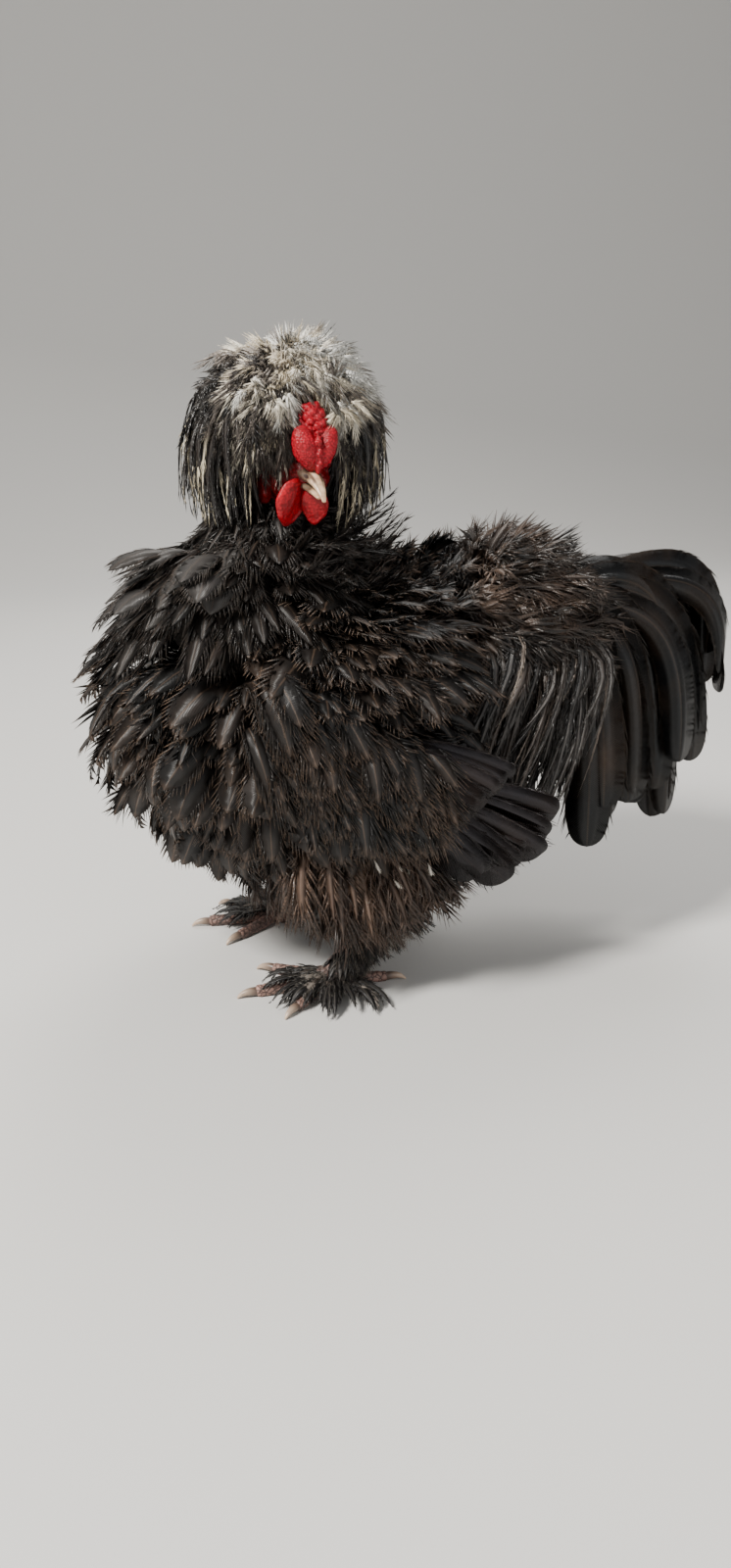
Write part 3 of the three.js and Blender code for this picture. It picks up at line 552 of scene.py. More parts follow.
streak = calc(tree, "MULTIPLY", band, mapped(tree, length, 0.95, 0.74))
# darker root: partly horn colour, partly painted shade where the beak meets the face
root_dark_and_shade = calc(tree, "MULTIPLY", mapped(tree, edge, 0.28, 0.5), mapped(tree, length, 0.74, 0.56, 0.0, 0.9))
# the nostril slits are painted dark: painted shade in the openings
nostril_shade = mapped(tree, map_pair(tree, "Nostril")[0], 0.25, 0.55)
streak_and_shade = calc(tree, "MAXIMUM", streak, calc(tree, "MAXIMUM", root_dark_and_shade, nostril_shade))
feed(tree, shader, {"Base Color": blended(tree, streak_and_shade, pale, (0.035, 0.02, 0.016, 1)),
                    "Normal": bumped(tree, growth, 0.25, 0.0003)})


def upper_section(t, c, s):
    return c * (1 - 0.22 * np.clip(s, 0, 1) ** 2), np.where(s < 0, s * 0.55, s * 1.02)


points, faces = limb([(14, 0, 1.5), (37, 0, 5.5), (46, 0, -5)], (7.4, 5.9, 3.9, 2.5, 1.0),
                     (5.2, 4.6, 3.6, 2.4, 0.9), (0, 1, 0), 52, 64, upper_section)
nostril = np.zeros(len(points))
for side in (1, -1):
    slit = (points - np.array(SLIT_CENTRE) * (1, side, 1)) / np.array(SLIT_RADII)
    near = np.exp(-np.sum(slit * slit, 1))
    points[:, 1] -= side * 1.2 * near
    nostril += near
to_tip = np.clip((points[:, 0] - 14) / 31, 0, 1)
off_ridge = np.abs(points[:, 1]) / np.interp(to_tip, (0, 0.5, 1), (7.4, 4.9, 1.6))
beak = made_piece("beak_top", on_head(points), faces, [horn], "horn", "beak_upper")
add_map(beak.data, "Horn", np.stack([off_ridge, to_tip], 1))
add_map(beak.data, "Nostril", np.stack([nostril, nostril], 1))
points, faces = limb([(13, 0, -4.0), (30, 0, -3.6), (39.3, 0, -5.4)], (5.6, 4.6, 3.2, 2.0, 1.0),
                     (2.8, 2.4, 1.8, 1.3, 0.8), (0, 1, 0), 32, 30)
jaw = made_piece("beak_bottom", on_head(points), faces, [horn], "horn", "beak_lower")
to_tip = np.clip((points[:, 0] - 13) / 24, 0, 1)
add_map(jaw.data, "Horn", np.stack([np.full(len(points), RIDGE), to_tip], 1))
add_map(jaw.data, "Nostril", np.zeros((len(points), 2)))

# The comb: one fleshy red body of bare skin on the forehead. Two smooth lobes meet in a V over
# the beak, with a beaded seam between them, and above them stands a cluster of rounded beads.
COMB_TOP = {"centre": np.array([17.5, 2.8, 24.0]), "radii": np.array([6.6, 6.4, 9.4]), "turn": (6, -24, 0)}
TOP_BEADS, BEAD_TURN = 58, 2.39996  # each bead is this many radians round from the last
SEAMS = (  # the path of each line of beads and their size: between the lobes and along both edges
    (((28, 1.6, 23), (32.8, 2.2, 14), (32.2, 1.6, 6)), 1.6),
    (((24.5, -8.6, 24), (28.2, -10.6, 16.5), (30, -4.6, 8)), 1.1),
    (((24, 11.2, 24), (28, 12.4, 16.5), (30, 6.4, 7.5)), 1.05),
)


def lobe_form(p):
    p = p.copy()
    low = np.clip(-p[:, 2], 0, 1)
    p[:, :2] *= (1 - 0.5 * low * low)[:, None]
    return p


comb_parts = [
    ball((19, 1.6, 13.5), (8.6, 7.6, 10.5), (0, -20, 0), shape=lobe_form),
    ball((26.4, -3.6, 14.8), (6.4, 6.2, 11.4), (17, -14, 0), 64, 48, lobe_form),
    ball((26.4, 7.2, 15.4), (5.6, 4.9, 11), (-19, -14, 0), 64, 48, lobe_form),
    ball(COMB_TOP["centre"], COMB_TOP["radii"] * 0.92, COMB_TOP["turn"]),
]
rng = np.random.default_rng(5)
beads = []
for k in range(TOP_BEADS):
    level, round_it = 1 - 2 * (k + 0.5) / TOP_BEADS, k * BEAD_TURN
    ring = math.sqrt(1 - level * level)
    direction = np.array([ring * math.cos(round_it), ring * math.sin(round_it), level])
    middle = COMB_TOP["centre"] + turned([direction * COMB_TOP["radii"]], COMB_TOP["turn"])[0]
    beads.append((middle + rng.uniform(-0.3, 0.3, 3), rng.uniform(1.7, 2.35)))
for line, size in SEAMS:
    for t in np.linspace(0, 1, 10):
        middle = bowed(*np.array(line), t)
        beads.append((middle + rng.uniform(-0.4, 0.4, 3), size * rng.uniform(0.8, 1.15)))
for middle, size in beads:
    comb_parts.append(ball(middle, (size, size, size), around=14, down=10))
comb_parts = [(on_head(points), faces) for points, faces in comb_parts]
comb_points, comb_faces, comb_normals = fused("comb", comb_parts, 0.45, 2)
comb_points = bumpy(comb_points, comb_normals, 0.34, 1.4, 2.0)
comb_skin = red_skin("comb_skin", 900.0, (0.56, 0.003, 0.022, 1), (0.2, 0.0004, 0.005, 1), 0.85)
made_piece("comb_flesh", comb_points, comb_faces, [comb_skin], "red_skin", "comb")

# The wattles and ear lobes: thin pointed folds of bare skin that hang from the jaw and cheeks.
# The wattle on the bird's right is the larger, and each has soft wrinkles and a fine rolled edge.
wattle_skin = red_skin("wattle_skin", 700.0, (0.52, 0.0015, 0.014, 1), (0.2, 0.0004, 0.004, 1), 0.65)
# the ear lobes' darker red is painted shade under the crest
lobe_skin_shaded = red_skin("lobe_skin_shaded", 620.0, (0.28, 0.002, 0.006, 1), (0.1, 0.0008, 0.002, 1), 0.7)


def wattle_form(p):
    p = p.copy()
    low = np.clip(-p[:, 2], 0, 1)
    rim = np.sqrt(p[:, 0] ** 2 + p[:, 2] ** 2)
    p[:, 1] *= 0.75 + 0.4 * np.exp(-((rim - 0.9) / 0.12) ** 2)
    p[:, 0] *= 1.05 - 0.42 * low * low
    p[:, 0] += 0.025 * np.sin(9 * p[:, 2]) * np.clip(rim, 0, 1)
    p[:, 1] += 0.22 * np.sin(3.4 * p[:, 0] + 1.6 * p[:, 2]) + 0.03 * np.sin(11 * p[:, 0] + 5 * p[:, 2])
    return p


for name, finish, centre, radii, turn, around, down in (
    ("wattle_left", wattle_skin, (26.8, 3.4, -13), (6.8, 2.9, 10.5), (6, 4, 56), 90, 64),
    ("wattle_right", wattle_skin, (24.0, -8.4, -12.5), (9.2, 3.2, 12.8), (-4, 4, -66), 90, 64),
    ("earlobe_left", lobe_skin_shaded, (1, 15, -12), (8, 4, 9), (0, 10, 0), 60, 44),
    ("earlobe_right", lobe_skin_shaded, (1, -15, -12), (8, 4, 9), (0, 10, 0), 60, 44),
):
    points, faces = ball(centre, radii, turn, around, down, wattle_form)
    made_piece("skin_of_" + name, on_head(points), faces, [finish], "red_skin", name)

# The claws: short curved horn sheaths, five on each foot, dark at the root and worn paler and
# blunt at the tip. Each grows from the end of a toe.
CLAW_LENGTH = 12.0
claw_horn, tree, shader = finish_named("claw_horn", Roughness=0.38, Coat_Weight=0.15, Coat_Roughness=0.25)
growth = grain(tree, 380.0, 4.0)
worn = blended(tree, mapped(tree, map_pair(tree, "Horn")[1], 0.15, 0.95),
               (0.1, 0.065, 0.05, 1), (0.56, 0.42, 0.31, 1))
clouded = blended(tree, mapped(tree, growth, 0.5, 0.75, 0, 0.5), worn, (0.16, 0.11, 0.09, 1))
feed(tree, shader, {"Base Color": clouded, "Normal": bumped(tree, growth, 0.3, 0.0003)})
for side, word in SIDES:
    for number, (turn, length, thick, rise, lifted) in enumerate(TOES, 1):
        out, path = toe_path(side, turn, length, rise, lifted)
        end = path[-1]
        claw_path = [end - out * 1.5, end + out * 8.4 + (0, 0, 2.2), end + out * CLAW_LENGTH + (0, 0, -2.2)]
        broad = np.cross(out, [0, 0, 1])
        points, faces = limb(claw_path, (2.6, 2.2, 1.5, 0.5), (2.7, 2.3, 1.5, 0.5), broad, 18, 14)
        points[:, 2] = np.maximum(points[:, 2], 0.1)
        to_tip = np.clip((points - end) @ out / CLAW_LENGTH, 0, 1)
        claw = made_piece(f"sheath_{word}_{number}", points, faces, [claw_horn], "horn",
                          f"claw_{word}_{number}")
        add_map(claw.data, "Horn", np.stack([np.ones(len(points)), to_tip], 1))

# The body plumage: broad frizzled feathers in overlapping rows over breast, flanks, belly and
# back. Each stands out from the skin and curls over. They are black with thin brown edges.
BODY_COAT = {"centre": (0, 2, 150), "radii": (116, 140, 105), "turn": (-10, 0, 0)}
# half outlines of a web: shares of the feather's length, and of its half width there
PETAL = ((0, 0.25), (0.2, 0.6), (0.45, 0.88), (0.7, 1.0), (0.85, 0.92), (0.95, 0.66), (1, 0.3))
LANCE = ((0, 0.35), (0.25, 0.9), (0.5, 1.0), (0.75, 0.72), (0.9, 0.4), (1, 0.08))
SICKLE = ((0, 0.3), (0.15, 0.62), (0.45, 0.92), (0.75, 1.0), (0.93, 0.98), (1, 0.85))
LAST_BARB = 0.97  # where the last barb leaves the shaft, as a share of its length


def on_form(form, d):
    """The points and normals of an ellipsoid's surface in the directions d."""
    radii = np.array(form["radii"], float)
    a = math.radians(form["turn"][0])
    spin = np.array([[1, 0, 0], [0, math.cos(a), -math.sin(a)], [0, math.sin(a), math.cos(a)]])
    local = unit((d @ spin) / radii)
    normal = unit(local / radii) @ spin.T
    return (local * radii) @ spin.T + np.array(form["centre"], float), normal


def heading(off_top, turn):
    """Directions from the angle off +Z and the turn round it, 0 towards -Y and 90 towards +X."""
    a, b = np.radians(off_top), np.radians(turn)
    return np.stack([np.sin(a) * np.sin(b), -np.sin(a) * np.cos(b), np.cos(a)], -1)


def quills(root, bend, tip, broad):
    """A set of feathers: the curve of each shaft, and the direction in which its web is broad."""
    return {"root": root, "bend": bend, "tip": tip, "across": unit(broad)}


def growing(core, coat, off, turn, to_off, to_turn, lift, reach, sink=3.0):
    """Feathers that grow from a core and end at a share, reach, of the way to the coat's outer form."""
    point, normal = on_form(core, heading(off, turn))
    outer, _ = on_form(coat, heading(to_off, to_turn))
    centre = np.array(coat["centre"], float)
    tip = centre + (outer - centre) * reach[:, None]
    length = np.linalg.norm(tip - point, axis=1)
    bend = point + normal * (lift * length)[:, None] + unit(outer - centre) * (0.35 * lift * length)[:, None]
    return quills(point - normal * sink, bend, tip, np.cross(tip - bend, normal))


def drawn(rng, spec, widths, tones=(0, 1)):
    """A random width and tone for each feather of a set."""
    many = len(spec["root"])
    return rng.uniform(*widths, many), rng.uniform(*tones, many)


def tube(rings, sides):
    """The triangles of a closed tube whose points are counted ring by ring."""
    shell = []
    for k in range(rings):
        for j in range(sides):
            a, b = sides * k + j, sides * k + (j + 1) % sides
            shell += [(a, b, b + sides), (a, b + sides, a + sides)]
    last = sides * rings
    shell += [(0, j + 1, j) for j in range(1, sides - 1)]
    shell += [(last, last + j, last + j + 1) for j in range(1, sides - 1)]
    return np.array(shell)


def feathers(spec, width, tone, seed, outline=PETAL, barbs=20, web=0.62, slant=1.0, loose=0.12, twist=18.0,
             rings=7, thick=0.22, cup=0.12, blunt=0.3, end=7, fine=0.62, hem=0.72, form=TORSO):
    """Closed mesh feathers: a thin cambered web on its shaft, or a bare shaft where web is 0, fringed
    by tapered barbs. Gives points, triangles and the numbers that the finish reads."""
    root, bend, tip, across = (spec[key] for key in ("root", "bend", "tip", "across"))
    count = len(root)
    rng = np.random.default_rng(seed)
    half = (np.asarray(width, float) * np.ones(count) / 2)[:, None]
    length = (np.linalg.norm(bend - root, axis=1) + np.linalg.norm(tip - bend, axis=1))[:, None] * 0.93
    spin = np.radians(rng.uniform(-twist, twist, count))[:, None]
    cup_of = (cup * rng.uniform(0.3, 1.5, count))[:, None]

    def spot(t, s, n):
        """Places points given along the shaft, across it and off its face."""
        w = t[..., None]
        at = bowed(root[:, None], bend[:, None], tip[:, None], w)
        along = unit((1 - w) * (bend - root)[:, None] + w * (tip - bend)[:, None])
        side = np.broadcast_to(across[:, None], along.shape)
        side = unit(side - along * np.sum(side * along, -1, keepdims=True))
        face = np.cross(side, along)
        angle = (spin * t)[..., None]
        across_now = side * np.cos(angle) + face * np.sin(angle)
        off_face = face * np.cos(angle) - side * np.sin(angle)
        return at + across_now * s[..., None] + off_face * (n - cup_of * np.abs(s))[..., None]

    def wide(t):
        """The half width of the outline, closed at its end."""
        shape = np.interp(np.clip(t, 0, 1), [p[0] for p in outline], [p[1] for p in outline])
        return shape * np.sqrt(np.maximum(1 - np.clip(t, 0, 1) ** end, 0.0004))

    if web > 0:
        corner, lift = [-1.0, 0.0, 1.0, 0.0], [0.0, 1.0, 0.0, -0.6]
        steps, taper, first = 1 - (1 - np.linspace(0, 1, rings + 1)) ** 1.7, 0.8, 0.1
    else:
        corner, lift = [-1.0, 1.0, 0.0], [-0.5, -0.5, 1.0]
        steps, taper, first = np.linspace(0, 0.98, rings + 1), 1.0, 0.06
    sides = len(corner)
    corner, lift = np.tile(corner, rings + 1)[None, :], np.tile(lift, rings + 1)[None, :]
    t = np.repeat(steps, sides)[None, :] * np.ones((count, 1))
    thinner = 1.1 - taper * t
    s = corner * web * half * wide(t) if web > 0 else corner * thick * thinner
    points = [spot(t, s, lift * thick * thinner)]
    shares, alongs = [np.broadcast_to(corner * web, t.shape)], [t]
    triangles, start = [tube(rings, sides)], sides * (rings + 1)

    gap = (LAST_BARB - first) / barbs
    for hand in (-1.0, 1.0):
        base = np.linspace(first, LAST_BARB, barbs)[None, :] * np.ones((count, 1))
        base = base + rng.uniform(-0.3, 0.3, base.shape) * gap
        ragged = rng.uniform(1 - 2.2 * loose, 1 + loose, base.shape)
        clump = rng.uniform(-1, 1, (count, barbs // 3 + 1)).repeat(3, 1)[:, :barbs]
        out = half * wide(base) * ragged
        forward = slant * half * (0.55 + 0.75 * wide(base)) * (1 + 0.6 * (clump * loose))
        forward = forward / length * (1 - blunt * base ** 8)
        inner = hem * web * (half * wide(base))
        lift_tip = (clump * 1.6 + rng.uniform(-1, 1, base.shape)) * loose * half * 0.8
        above = 0.38 * lift_tip + thick * 0.55 * (hem < 0.8)
        below = np.full(base.shape, -0.1)
        a = spot(base - fine * gap, hand * inner, below)
        b = spot(base + fine * gap, hand * inner, below)
        c = spot(base + forward, hand * out, lift_tip)
        m = spot(base + 0.36 * forward + 0.25 * (fine * gap), hand * (0.5 * (inner + out) * 1.02), above)
        points.append(np.stack([a, b, c, m], 2).reshape(count, -1, 3))
        edge = np.full(base.shape, hem * web)
        share = np.stack([edge, edge, np.ones(base.shape), 0.5 + 0.5 * edge], 2)
        shares.append(hand * share.reshape(count, -1))
        alongs.append(np.stack([base, base, base + forward, base + 0.4 * forward], 2).reshape(count, -1))
        barb = np.array([(0, 1, 3), (1, 2, 3), (2, 0, 3), (0, 2, 1)])
        if hand < 0:
            barb = barb[:, ::-1]
        triangles.append((barb[None] + start + 4 * np.arange(barbs)[:, None, None]).reshape(-1, 3))
        start += 4 * barbs
    points, shares, alongs = (np.concatenate(rows, 1) for rows in (points, shares, alongs))
    pattern = np.concatenate(triangles)
    triangles = (pattern[None] + points.shape[1] * np.arange(count)[:, None, None]).reshape(-1, 3)
    patch = np.clip(unwrapped(root, form["centre"]), 0.004, 0.996)
    bake = patch[:, None] + 0.003 * np.stack([shares * 0.5, np.clip(alongs, 0, 1) - 0.5], 2)
    vane = np.stack([shares * 0.5 + 0.5, alongs * length / 100], 2)
    toned = np.stack([np.asarray(tone, float)[:, None] * np.ones(alongs.shape), alongs], 2)
    return points.reshape(-1, 3), triangles, bake.reshape(-1, 2), vane.reshape(-1, 2), toned.reshape(-1, 2)


def plumage(name, finish, slot, batches, *stands_for):
    """One coat piece out of batches of feathers, with its bake map and its vane and tone maps."""
    starts = np.cumsum([0] + [len(batch[0]) for batch in batches])
    triangles = np.concatenate([batch[1] + start for batch, start in zip(batches, starts)])
    points, bake, vane, toned = (np.concatenate([batch[k] for batch in batches]) for k in (0, 2, 3, 4))
    points[:, 2] = np.maximum(points[:, 2], 0.4)
    mesh = bpy.data.meshes.new(name)
    mesh.vertices.add(len(points))
    mesh.vertices.foreach_set("co", metres(points).astype(np.float32).ravel())
    mesh.loops.add(3 * len(triangles))
    mesh.loops.foreach_set("vertex_index", triangles.astype(np.int32).ravel())
    mesh.polygons.add(len(triangles))
    mesh.polygons.foreach_set("loop_start", np.arange(0, 3 * len(triangles), 3, dtype=np.int32))
    mesh.update(calc_edges=True)
    mesh.polygons.foreach_set("use_smooth", np.ones(len(triangles), bool))
    for title, rows in (("OFBake", bake), ("Vane", vane), ("Tone", toned)):
        add_map(mesh, title, rows)
    mesh.materials.append(finish)
    print("coat piece", name, len(triangles), "triangles")
    return fixed(name, mesh, stands_for)


# the web of a feather: fine lines of barbs, lighter on the barbs and darker between them as painted shade, a
# paler rim, shaft and tip, and less shine between the barbs
barbed, come, go = shared_effect("barbed_web", (
    ("Ground", "NodeSocketColor", (0.02, 0.017, 0.015, 1)),
    ("Edge", "NodeSocketColor", (0.16, 0.1, 0.065, 1)),
    ("Edge Amount", "NodeSocketFloat", 0.4),
    ("Tip", "NodeSocketColor", (0.7, 0.6, 0.45, 1)),
    ("Tip Amount", "NodeSocketFloat", 0.0),
    ("Tip Start", "NodeSocketFloat", 0.7),
    ("Lines", "NodeSocketFloat", 1.0),
    ("Gloss", "NodeSocketFloat", 0.0),
), (("Color", "NodeSocketColor"), ("Roughness", "NodeSocketFloat"), ("Height", "NodeSocketFloat")))
vane, toned = map_pair(barbed, "Vane"), map_pair(barbed, "Tone")
share = calc(barbed, "ABSOLUTE", calc(barbed, "SUBTRACT", calc(barbed, "MULTIPLY", vane[0], 2.0), 1.0))
row = calc(barbed, "SUBTRACT", calc(barbed, "MULTIPLY", vane[1], 100.0), calc(barbed, "MULTIPLY", share, 9.0))
wave = calc(barbed, "MULTIPLY", calc(barbed, "SINE", calc(barbed, "MULTIPLY", row, 6.2)), 0.5)
lines = calc(barbed, "MULTIPLY", calc(barbed, "ADD", wave, grain(barbed, 240.0, 2.0)), come["Lines"])
paler = calc(barbed, "MULTIPLY", mapped(barbed, share, 0.8, 0.92), come["Edge Amount"])
edged = blended(barbed, paler, come["Ground"], come["Edge"])
to_end = mapped(barbed, calc(barbed, "SUBTRACT", toned[1], come["Tip Start"]), 0.0, 0.22)
tipped = blended(barbed, calc(barbed, "MULTIPLY", to_end, come["Tip Amount"]), edged, come["Tip"])
with_shaft = blended(barbed, mapped(barbed, share, 0.07, 0.0, 0.0, 0.16), tipped, come["Edge"])
# the colour's brightness follows the barb lines: painted shade between the barbs, with random grain
barb_shade_and_grain = {"Color": with_shaft, "Value": mapped(barbed, lines, 0.0, 1.4, 0.72, 1.3)}
feed(barbed, go, {
    "Color": node(barbed, "ShaderNodeHueSaturation", barb_shade_and_grain).outputs["Color"],
    "Roughness": calc(barbed, "SUBTRACT", mapped(barbed, lines, 0.0, 1.4, 0.36, 0.56), come["Gloss"]),
    "Height": lines,
})


def feather_finish(name, black, brown, patch, edge, edge_amount, tip=(0.7, 0.6, 0.45, 1), tip_amount=0.0,
                   tip_start=0.7, tones=None, lines=1.0, gloss=0.0, **constants):
    """The look of one kind of feather. tones, if given, is a ramp read by each feather's tone."""
    made, tree, shader = finish_named(name, **constants)
    ground = with_effect(tree, patches, {"Black": black, "Brown": brown, "Amount": patch})["Color"]
    tone = map_pair(tree, "Tone")[0]
    if tones:
        ramp = tree.nodes.new("ShaderNodeValToRGB")
        stops = ramp.color_ramp.elements
        stops[0].position, stops[0].color = tones[0]
        stops[1].position, stops[1].color = tones[-1]
        for position, colour in tones[1:-1]:
            stops.new(position).color = colour
        tree.links.new(tone, ramp.inputs["Fac"])
        ground = blended(tree, 0.88, ground, ramp.outputs["Color"])
    else:
        brightness = {"Color": ground, "Value": mapped(tree, tone, 0.0, 1.0, 0.65, 1.45)}
        ground = node(tree, "ShaderNodeHueSaturation", brightness).outputs["Color"]
    web = with_effect(tree, barbed, {"Ground": ground, "Edge": edge, "Edge Amount": edge_amount, "Tip": tip,
                                     "Tip Amount": tip_amount, "Tip Start": tip_start, "Lines": lines,
                                     "Gloss": gloss})
    feed(tree, shader, {"Base Color": web["Color"], "Roughness": web["Roughness"],
                        "Normal": bumped(tree, web["Height"], 0.35, 0.0004)})
    return made


def body_rows(seed, off, turn, spacing, sweep_back, reach):
    """Staggered rows of feathers over part of the torso. off says from which angle off the top to
    which and in what steps the rows lie, and turn where each starts and ends."""
    rng = np.random.default_rng(seed)
    first, last = turn
    offs, turns = [], []
    for row, row_off in enumerate(np.arange(*off)):
        arc = math.radians(abs(last - first)) * 80 * math.sin(math.radians(row_off))
        many = max(3, int(arc / spacing))
        steps = np.arange(many) + 0.5 * (row % 2) + rng.uniform(-0.3, 0.3, many)
        turns.append(first + steps / many * (last - first))
        offs.append(row_off + rng.uniform(-0.4, 0.4, many) * off[2])
    offs, turns = np.concatenate(offs), np.concatenate(turns)
    many = len(offs)
    away = np.sin(np.radians(turns))
    back = sweep_back * np.clip(np.abs(away), 0, 1) * np.sign(away)
    to_off = offs + rng.uniform(12, 20, many)
    to_turn = turns + back + rng.uniform(-7, 7, many)
    return growing(TORSO, BODY_COAT, offs, turns, to_off, to_turn, rng.uniform(0.34, 0.56, many),
                   rng.uniform(*reach, many)), rng


def neat_and_loose(spec, rng, seed, widths, neat):
    """Shares feathers out at random between neat petals and looser, frayed ones."""
    width, tone = drawn(rng, spec, widths)
    pick = rng.random(len(width)) < neat
    batches = []
    for chosen, web, loose, barbs in ((pick, 0.84, 0.07, 20), (~pick, 0.5, 0.3, 22)):
        some = {key: rows[chosen] for key, rows in spec.items()}
        batches.append(feathers(some, width[chosen], tone[chosen], seed, barbs=barbs, web=web, loose=loose,
                                slant=0.8, blunt=0.6))
        seed += 50
    return batches


body_feather = feather_finish(
    "body_feather", black=(0.0045, 0.004, 0.0038, 1), brown=(0.024, 0.015, 0.01, 1), patch=0.7,
    edge=(0.36, 0.23, 0.15, 1), edge_amount=0.34, tip=(0.3, 0.19, 0.125, 1), tip_amount=0.4, tip_start=0.92,
    Specular_IOR_Level=0.4)
spec, rng = body_rows(101, (58, 152, 6.0), (-72, 72), 9.5, 4, (0.8, 0.99))
plumage("breast_plumage", body_feather, "black_feathers", neat_and_loose(spec, rng, 1, (16, 27), 0.72))
for side, word in SIDES:
    spec, rng = body_rows(103 + side, (44, 150, 6.5), (70 * side, 134 * side), 8.5, 10, (0.84, 1.0))
    high, high_rng = body_rows(113 + side, (34, 64, 5.0), (58 * side, 132 * side), 8.5, 12, (0.9, 1.03))
    plumage("flank_plumage_" + word, body_feather, "black_feathers",
            neat_and_loose(spec, rng, 2, (15, 26), 0.6) + neat_and_loose(high, high_rng, 5, (14, 22), 0.5))
spec, rng = body_rows(107, (28, 66, 6.5), (78, 282), 9.5, -2, (0.95, 1.1))
low, low_rng = body_rows(109, (96, 150, 6.5), (130, 230), 10.0, 0, (0.84, 1.0))
rise_rng = np.random.default_rng(111)
many = 90
off_spine = rise_rng.uniform(-1, 1, many)
root = np.stack([38 * off_spine, rise_rng.uniform(0, 70, many), 200 - 22 * off_spine * off_spine], 1)
tip = root + np.stack([34 * off_spine, rise_rng.uniform(6, 30, many), rise_rng.uniform(32, 54, many)], 1)
bend = root + np.stack([22 * off_spine, rise_rng.uniform(-6, 8, many), rise_rng.uniform(36, 50, many)], 1)
rise = quills(root, bend, tip, np.cross(tip - root, [0.5, 0.8, 0.2]))
plumage("back_plumage", body_feather, "black_feathers", [
    feathers(rise, *drawn(rise_rng, rise, (15, 23)), 22, web=0.6, loose=0.25),
    feathers(spec, *drawn(rng, spec, (18, 27)), 3),
    feathers(low, *drawn(low_rng, low, (18, 27)), 4, barbs=18, loose=0.3),
])

# The hackle: a ruff that stands out round the short neck like a cape. Its lower feathers are
# broad and rounded with a dark grey sheen, and those near the head are soft brown fluff.
UP = np.array([0, 0, 1.0])
GOLDEN_TURN = 137.508  # degrees from each feather to the next, which covers a form evenly
RUFF_HEIGHTS = (0.2, 0.26, 0.44, 0.62, 0.8, 0.95)  # shares of the neck's length
RUFF_SPREADS = (90, 88, 77, 63, 47, 36)
RUFF_DROPS = (-28, -22, -4, 7, 6, 4)
ruff_feather = feather_finish(
    "ruff_feather", black=(0.012, 0.0105, 0.01, 1), brown=(0.05, 0.03, 0.02, 1), patch=0.5,
    edge=(0.2, 0.13, 0.085, 1), edge_amount=0.2, Specular_IOR_Level=0.38,
    tones=((0.0, (0.006, 0.005, 0.004, 1)), (0.6, (0.014, 0.01, 0.008, 1)),
           (0.8, (0.022, 0.018, 0.015, 1)), (1.0, (0.05, 0.047, 0.045, 1))))


def level(turn):
    """Level directions round the bird."""
    return heading(np.full(len(turn), 90.0), turn)


def on_neck(height):
    """Points on the neck's middle line at shares of its length."""
    return NECK_FOOT + (NECK_TOP - NECK_FOOT) * height[:, None]


def ruff(seed, many, low, high):
    """Feathers that spread from the neck, level at its foot and steeper towards the head."""
    rng = np.random.default_rng(seed)
    height = rng.uniform(low, high, many)
    turn = (np.arange(many) * GOLDEN_TURN + rng.uniform(-8, 8, many)) % 360
    out = level(turn)
    backward = np.maximum(out[:, 1], 0)
    spread = np.interp(height, RUFF_HEIGHTS, RUFF_SPREADS) * rng.uniform(0.8, 1.06, many)
    spread = spread * (1 - 0.1 * backward)
    middle = on_neck(height)
    root = middle + out * (38 - 16 * height)[:, None]
    bend = middle + out * (0.68 * spread)[:, None]
    bend[:, 2] += 14 + 6 * backward + rng.uniform(-4, 4, many)
    swirl = np.radians(rng.uniform(-9, 9, many))
    bent = np.stack([out[:, 0] * np.cos(swirl) - out[:, 1] * np.sin(swirl),
                     out[:, 0] * np.sin(swirl) + out[:, 1] * np.cos(swirl), np.zeros(many)], 1)
    tip = middle + bent * spread[:, None]
    forward = np.clip(-out[:, 1] + 0.25, 0, 1) * np.clip((height - 0.35) * 2.4, 0, 1)
    drop = np.interp(height, RUFF_HEIGHTS, RUFF_DROPS) + rng.uniform(-7, 6, many)
    tip[:, 2] += drop + 10 * backward - 26 * forward
    bend[:, 2] -= 15 * forward
    return quills(root, bend, tip, np.cross(tip - bend, UP)), rng


def round_neck(height, turn, depth, reach):
    """Feathers that leave the neck at a depth from its middle line and stand out level."""
    out, middle = level(turn), on_neck(height)
    root, bend, tip = (middle + out * away[:, None] for away in (depth, 0.72 * reach, reach))
    return quills(root, bend, tip, np.cross(out, UP))


spec, rng = ruff(121, 250, 0.2, 0.66)
upper, upper_rng = ruff(123, 150, 0.6, 0.97)
rear_rng = np.random.default_rng(125)
many = 90
height, turn = rear_rng.uniform(0.15, 0.7, many), rear_rng.uniform(100, 250, many)
rear = round_neck(height, turn, 38 - 16 * height, rear_rng.uniform(66, 88, many))
rear["bend"][:, 2] += rear_rng.uniform(-2, 8, many)
rear["tip"][:, 2] += rear_rng.uniform(2, 30, many)
shield_rng = np.random.default_rng(127)
many = 26
turn, height = shield_rng.uniform(-8, 66, many), shield_rng.uniform(0.3, 0.62, many)
shield = round_neck(height, turn, np.full(many, 30.0), shield_rng.uniform(62, 84, many))
shield["bend"][:, 2] += 17
shield["tip"][:, 2] += shield_rng.uniform(-14, 0, many)
plumage("neck_ruff", ruff_feather, "black_feathers", [
    feathers(spec, *drawn(rng, spec, (17, 25), (0, 0.8)), 5, barbs=22),
    feathers(shield, *drawn(shield_rng, shield, (22, 29), (0.85, 1)), 23, barbs=26, web=0.93, loose=0.05,
             slant=0.7, blunt=0.8),
    feathers(rear, *drawn(rear_rng, rear, (9, 15)), 21, LANCE, barbs=28, web=0.5, slant=1.8, loose=0.25),
    feathers(upper, *drawn(upper_rng, upper, (12, 19), (0.4, 1)), 6, LANCE, barbs=22, web=0.3, loose=0.4),
])

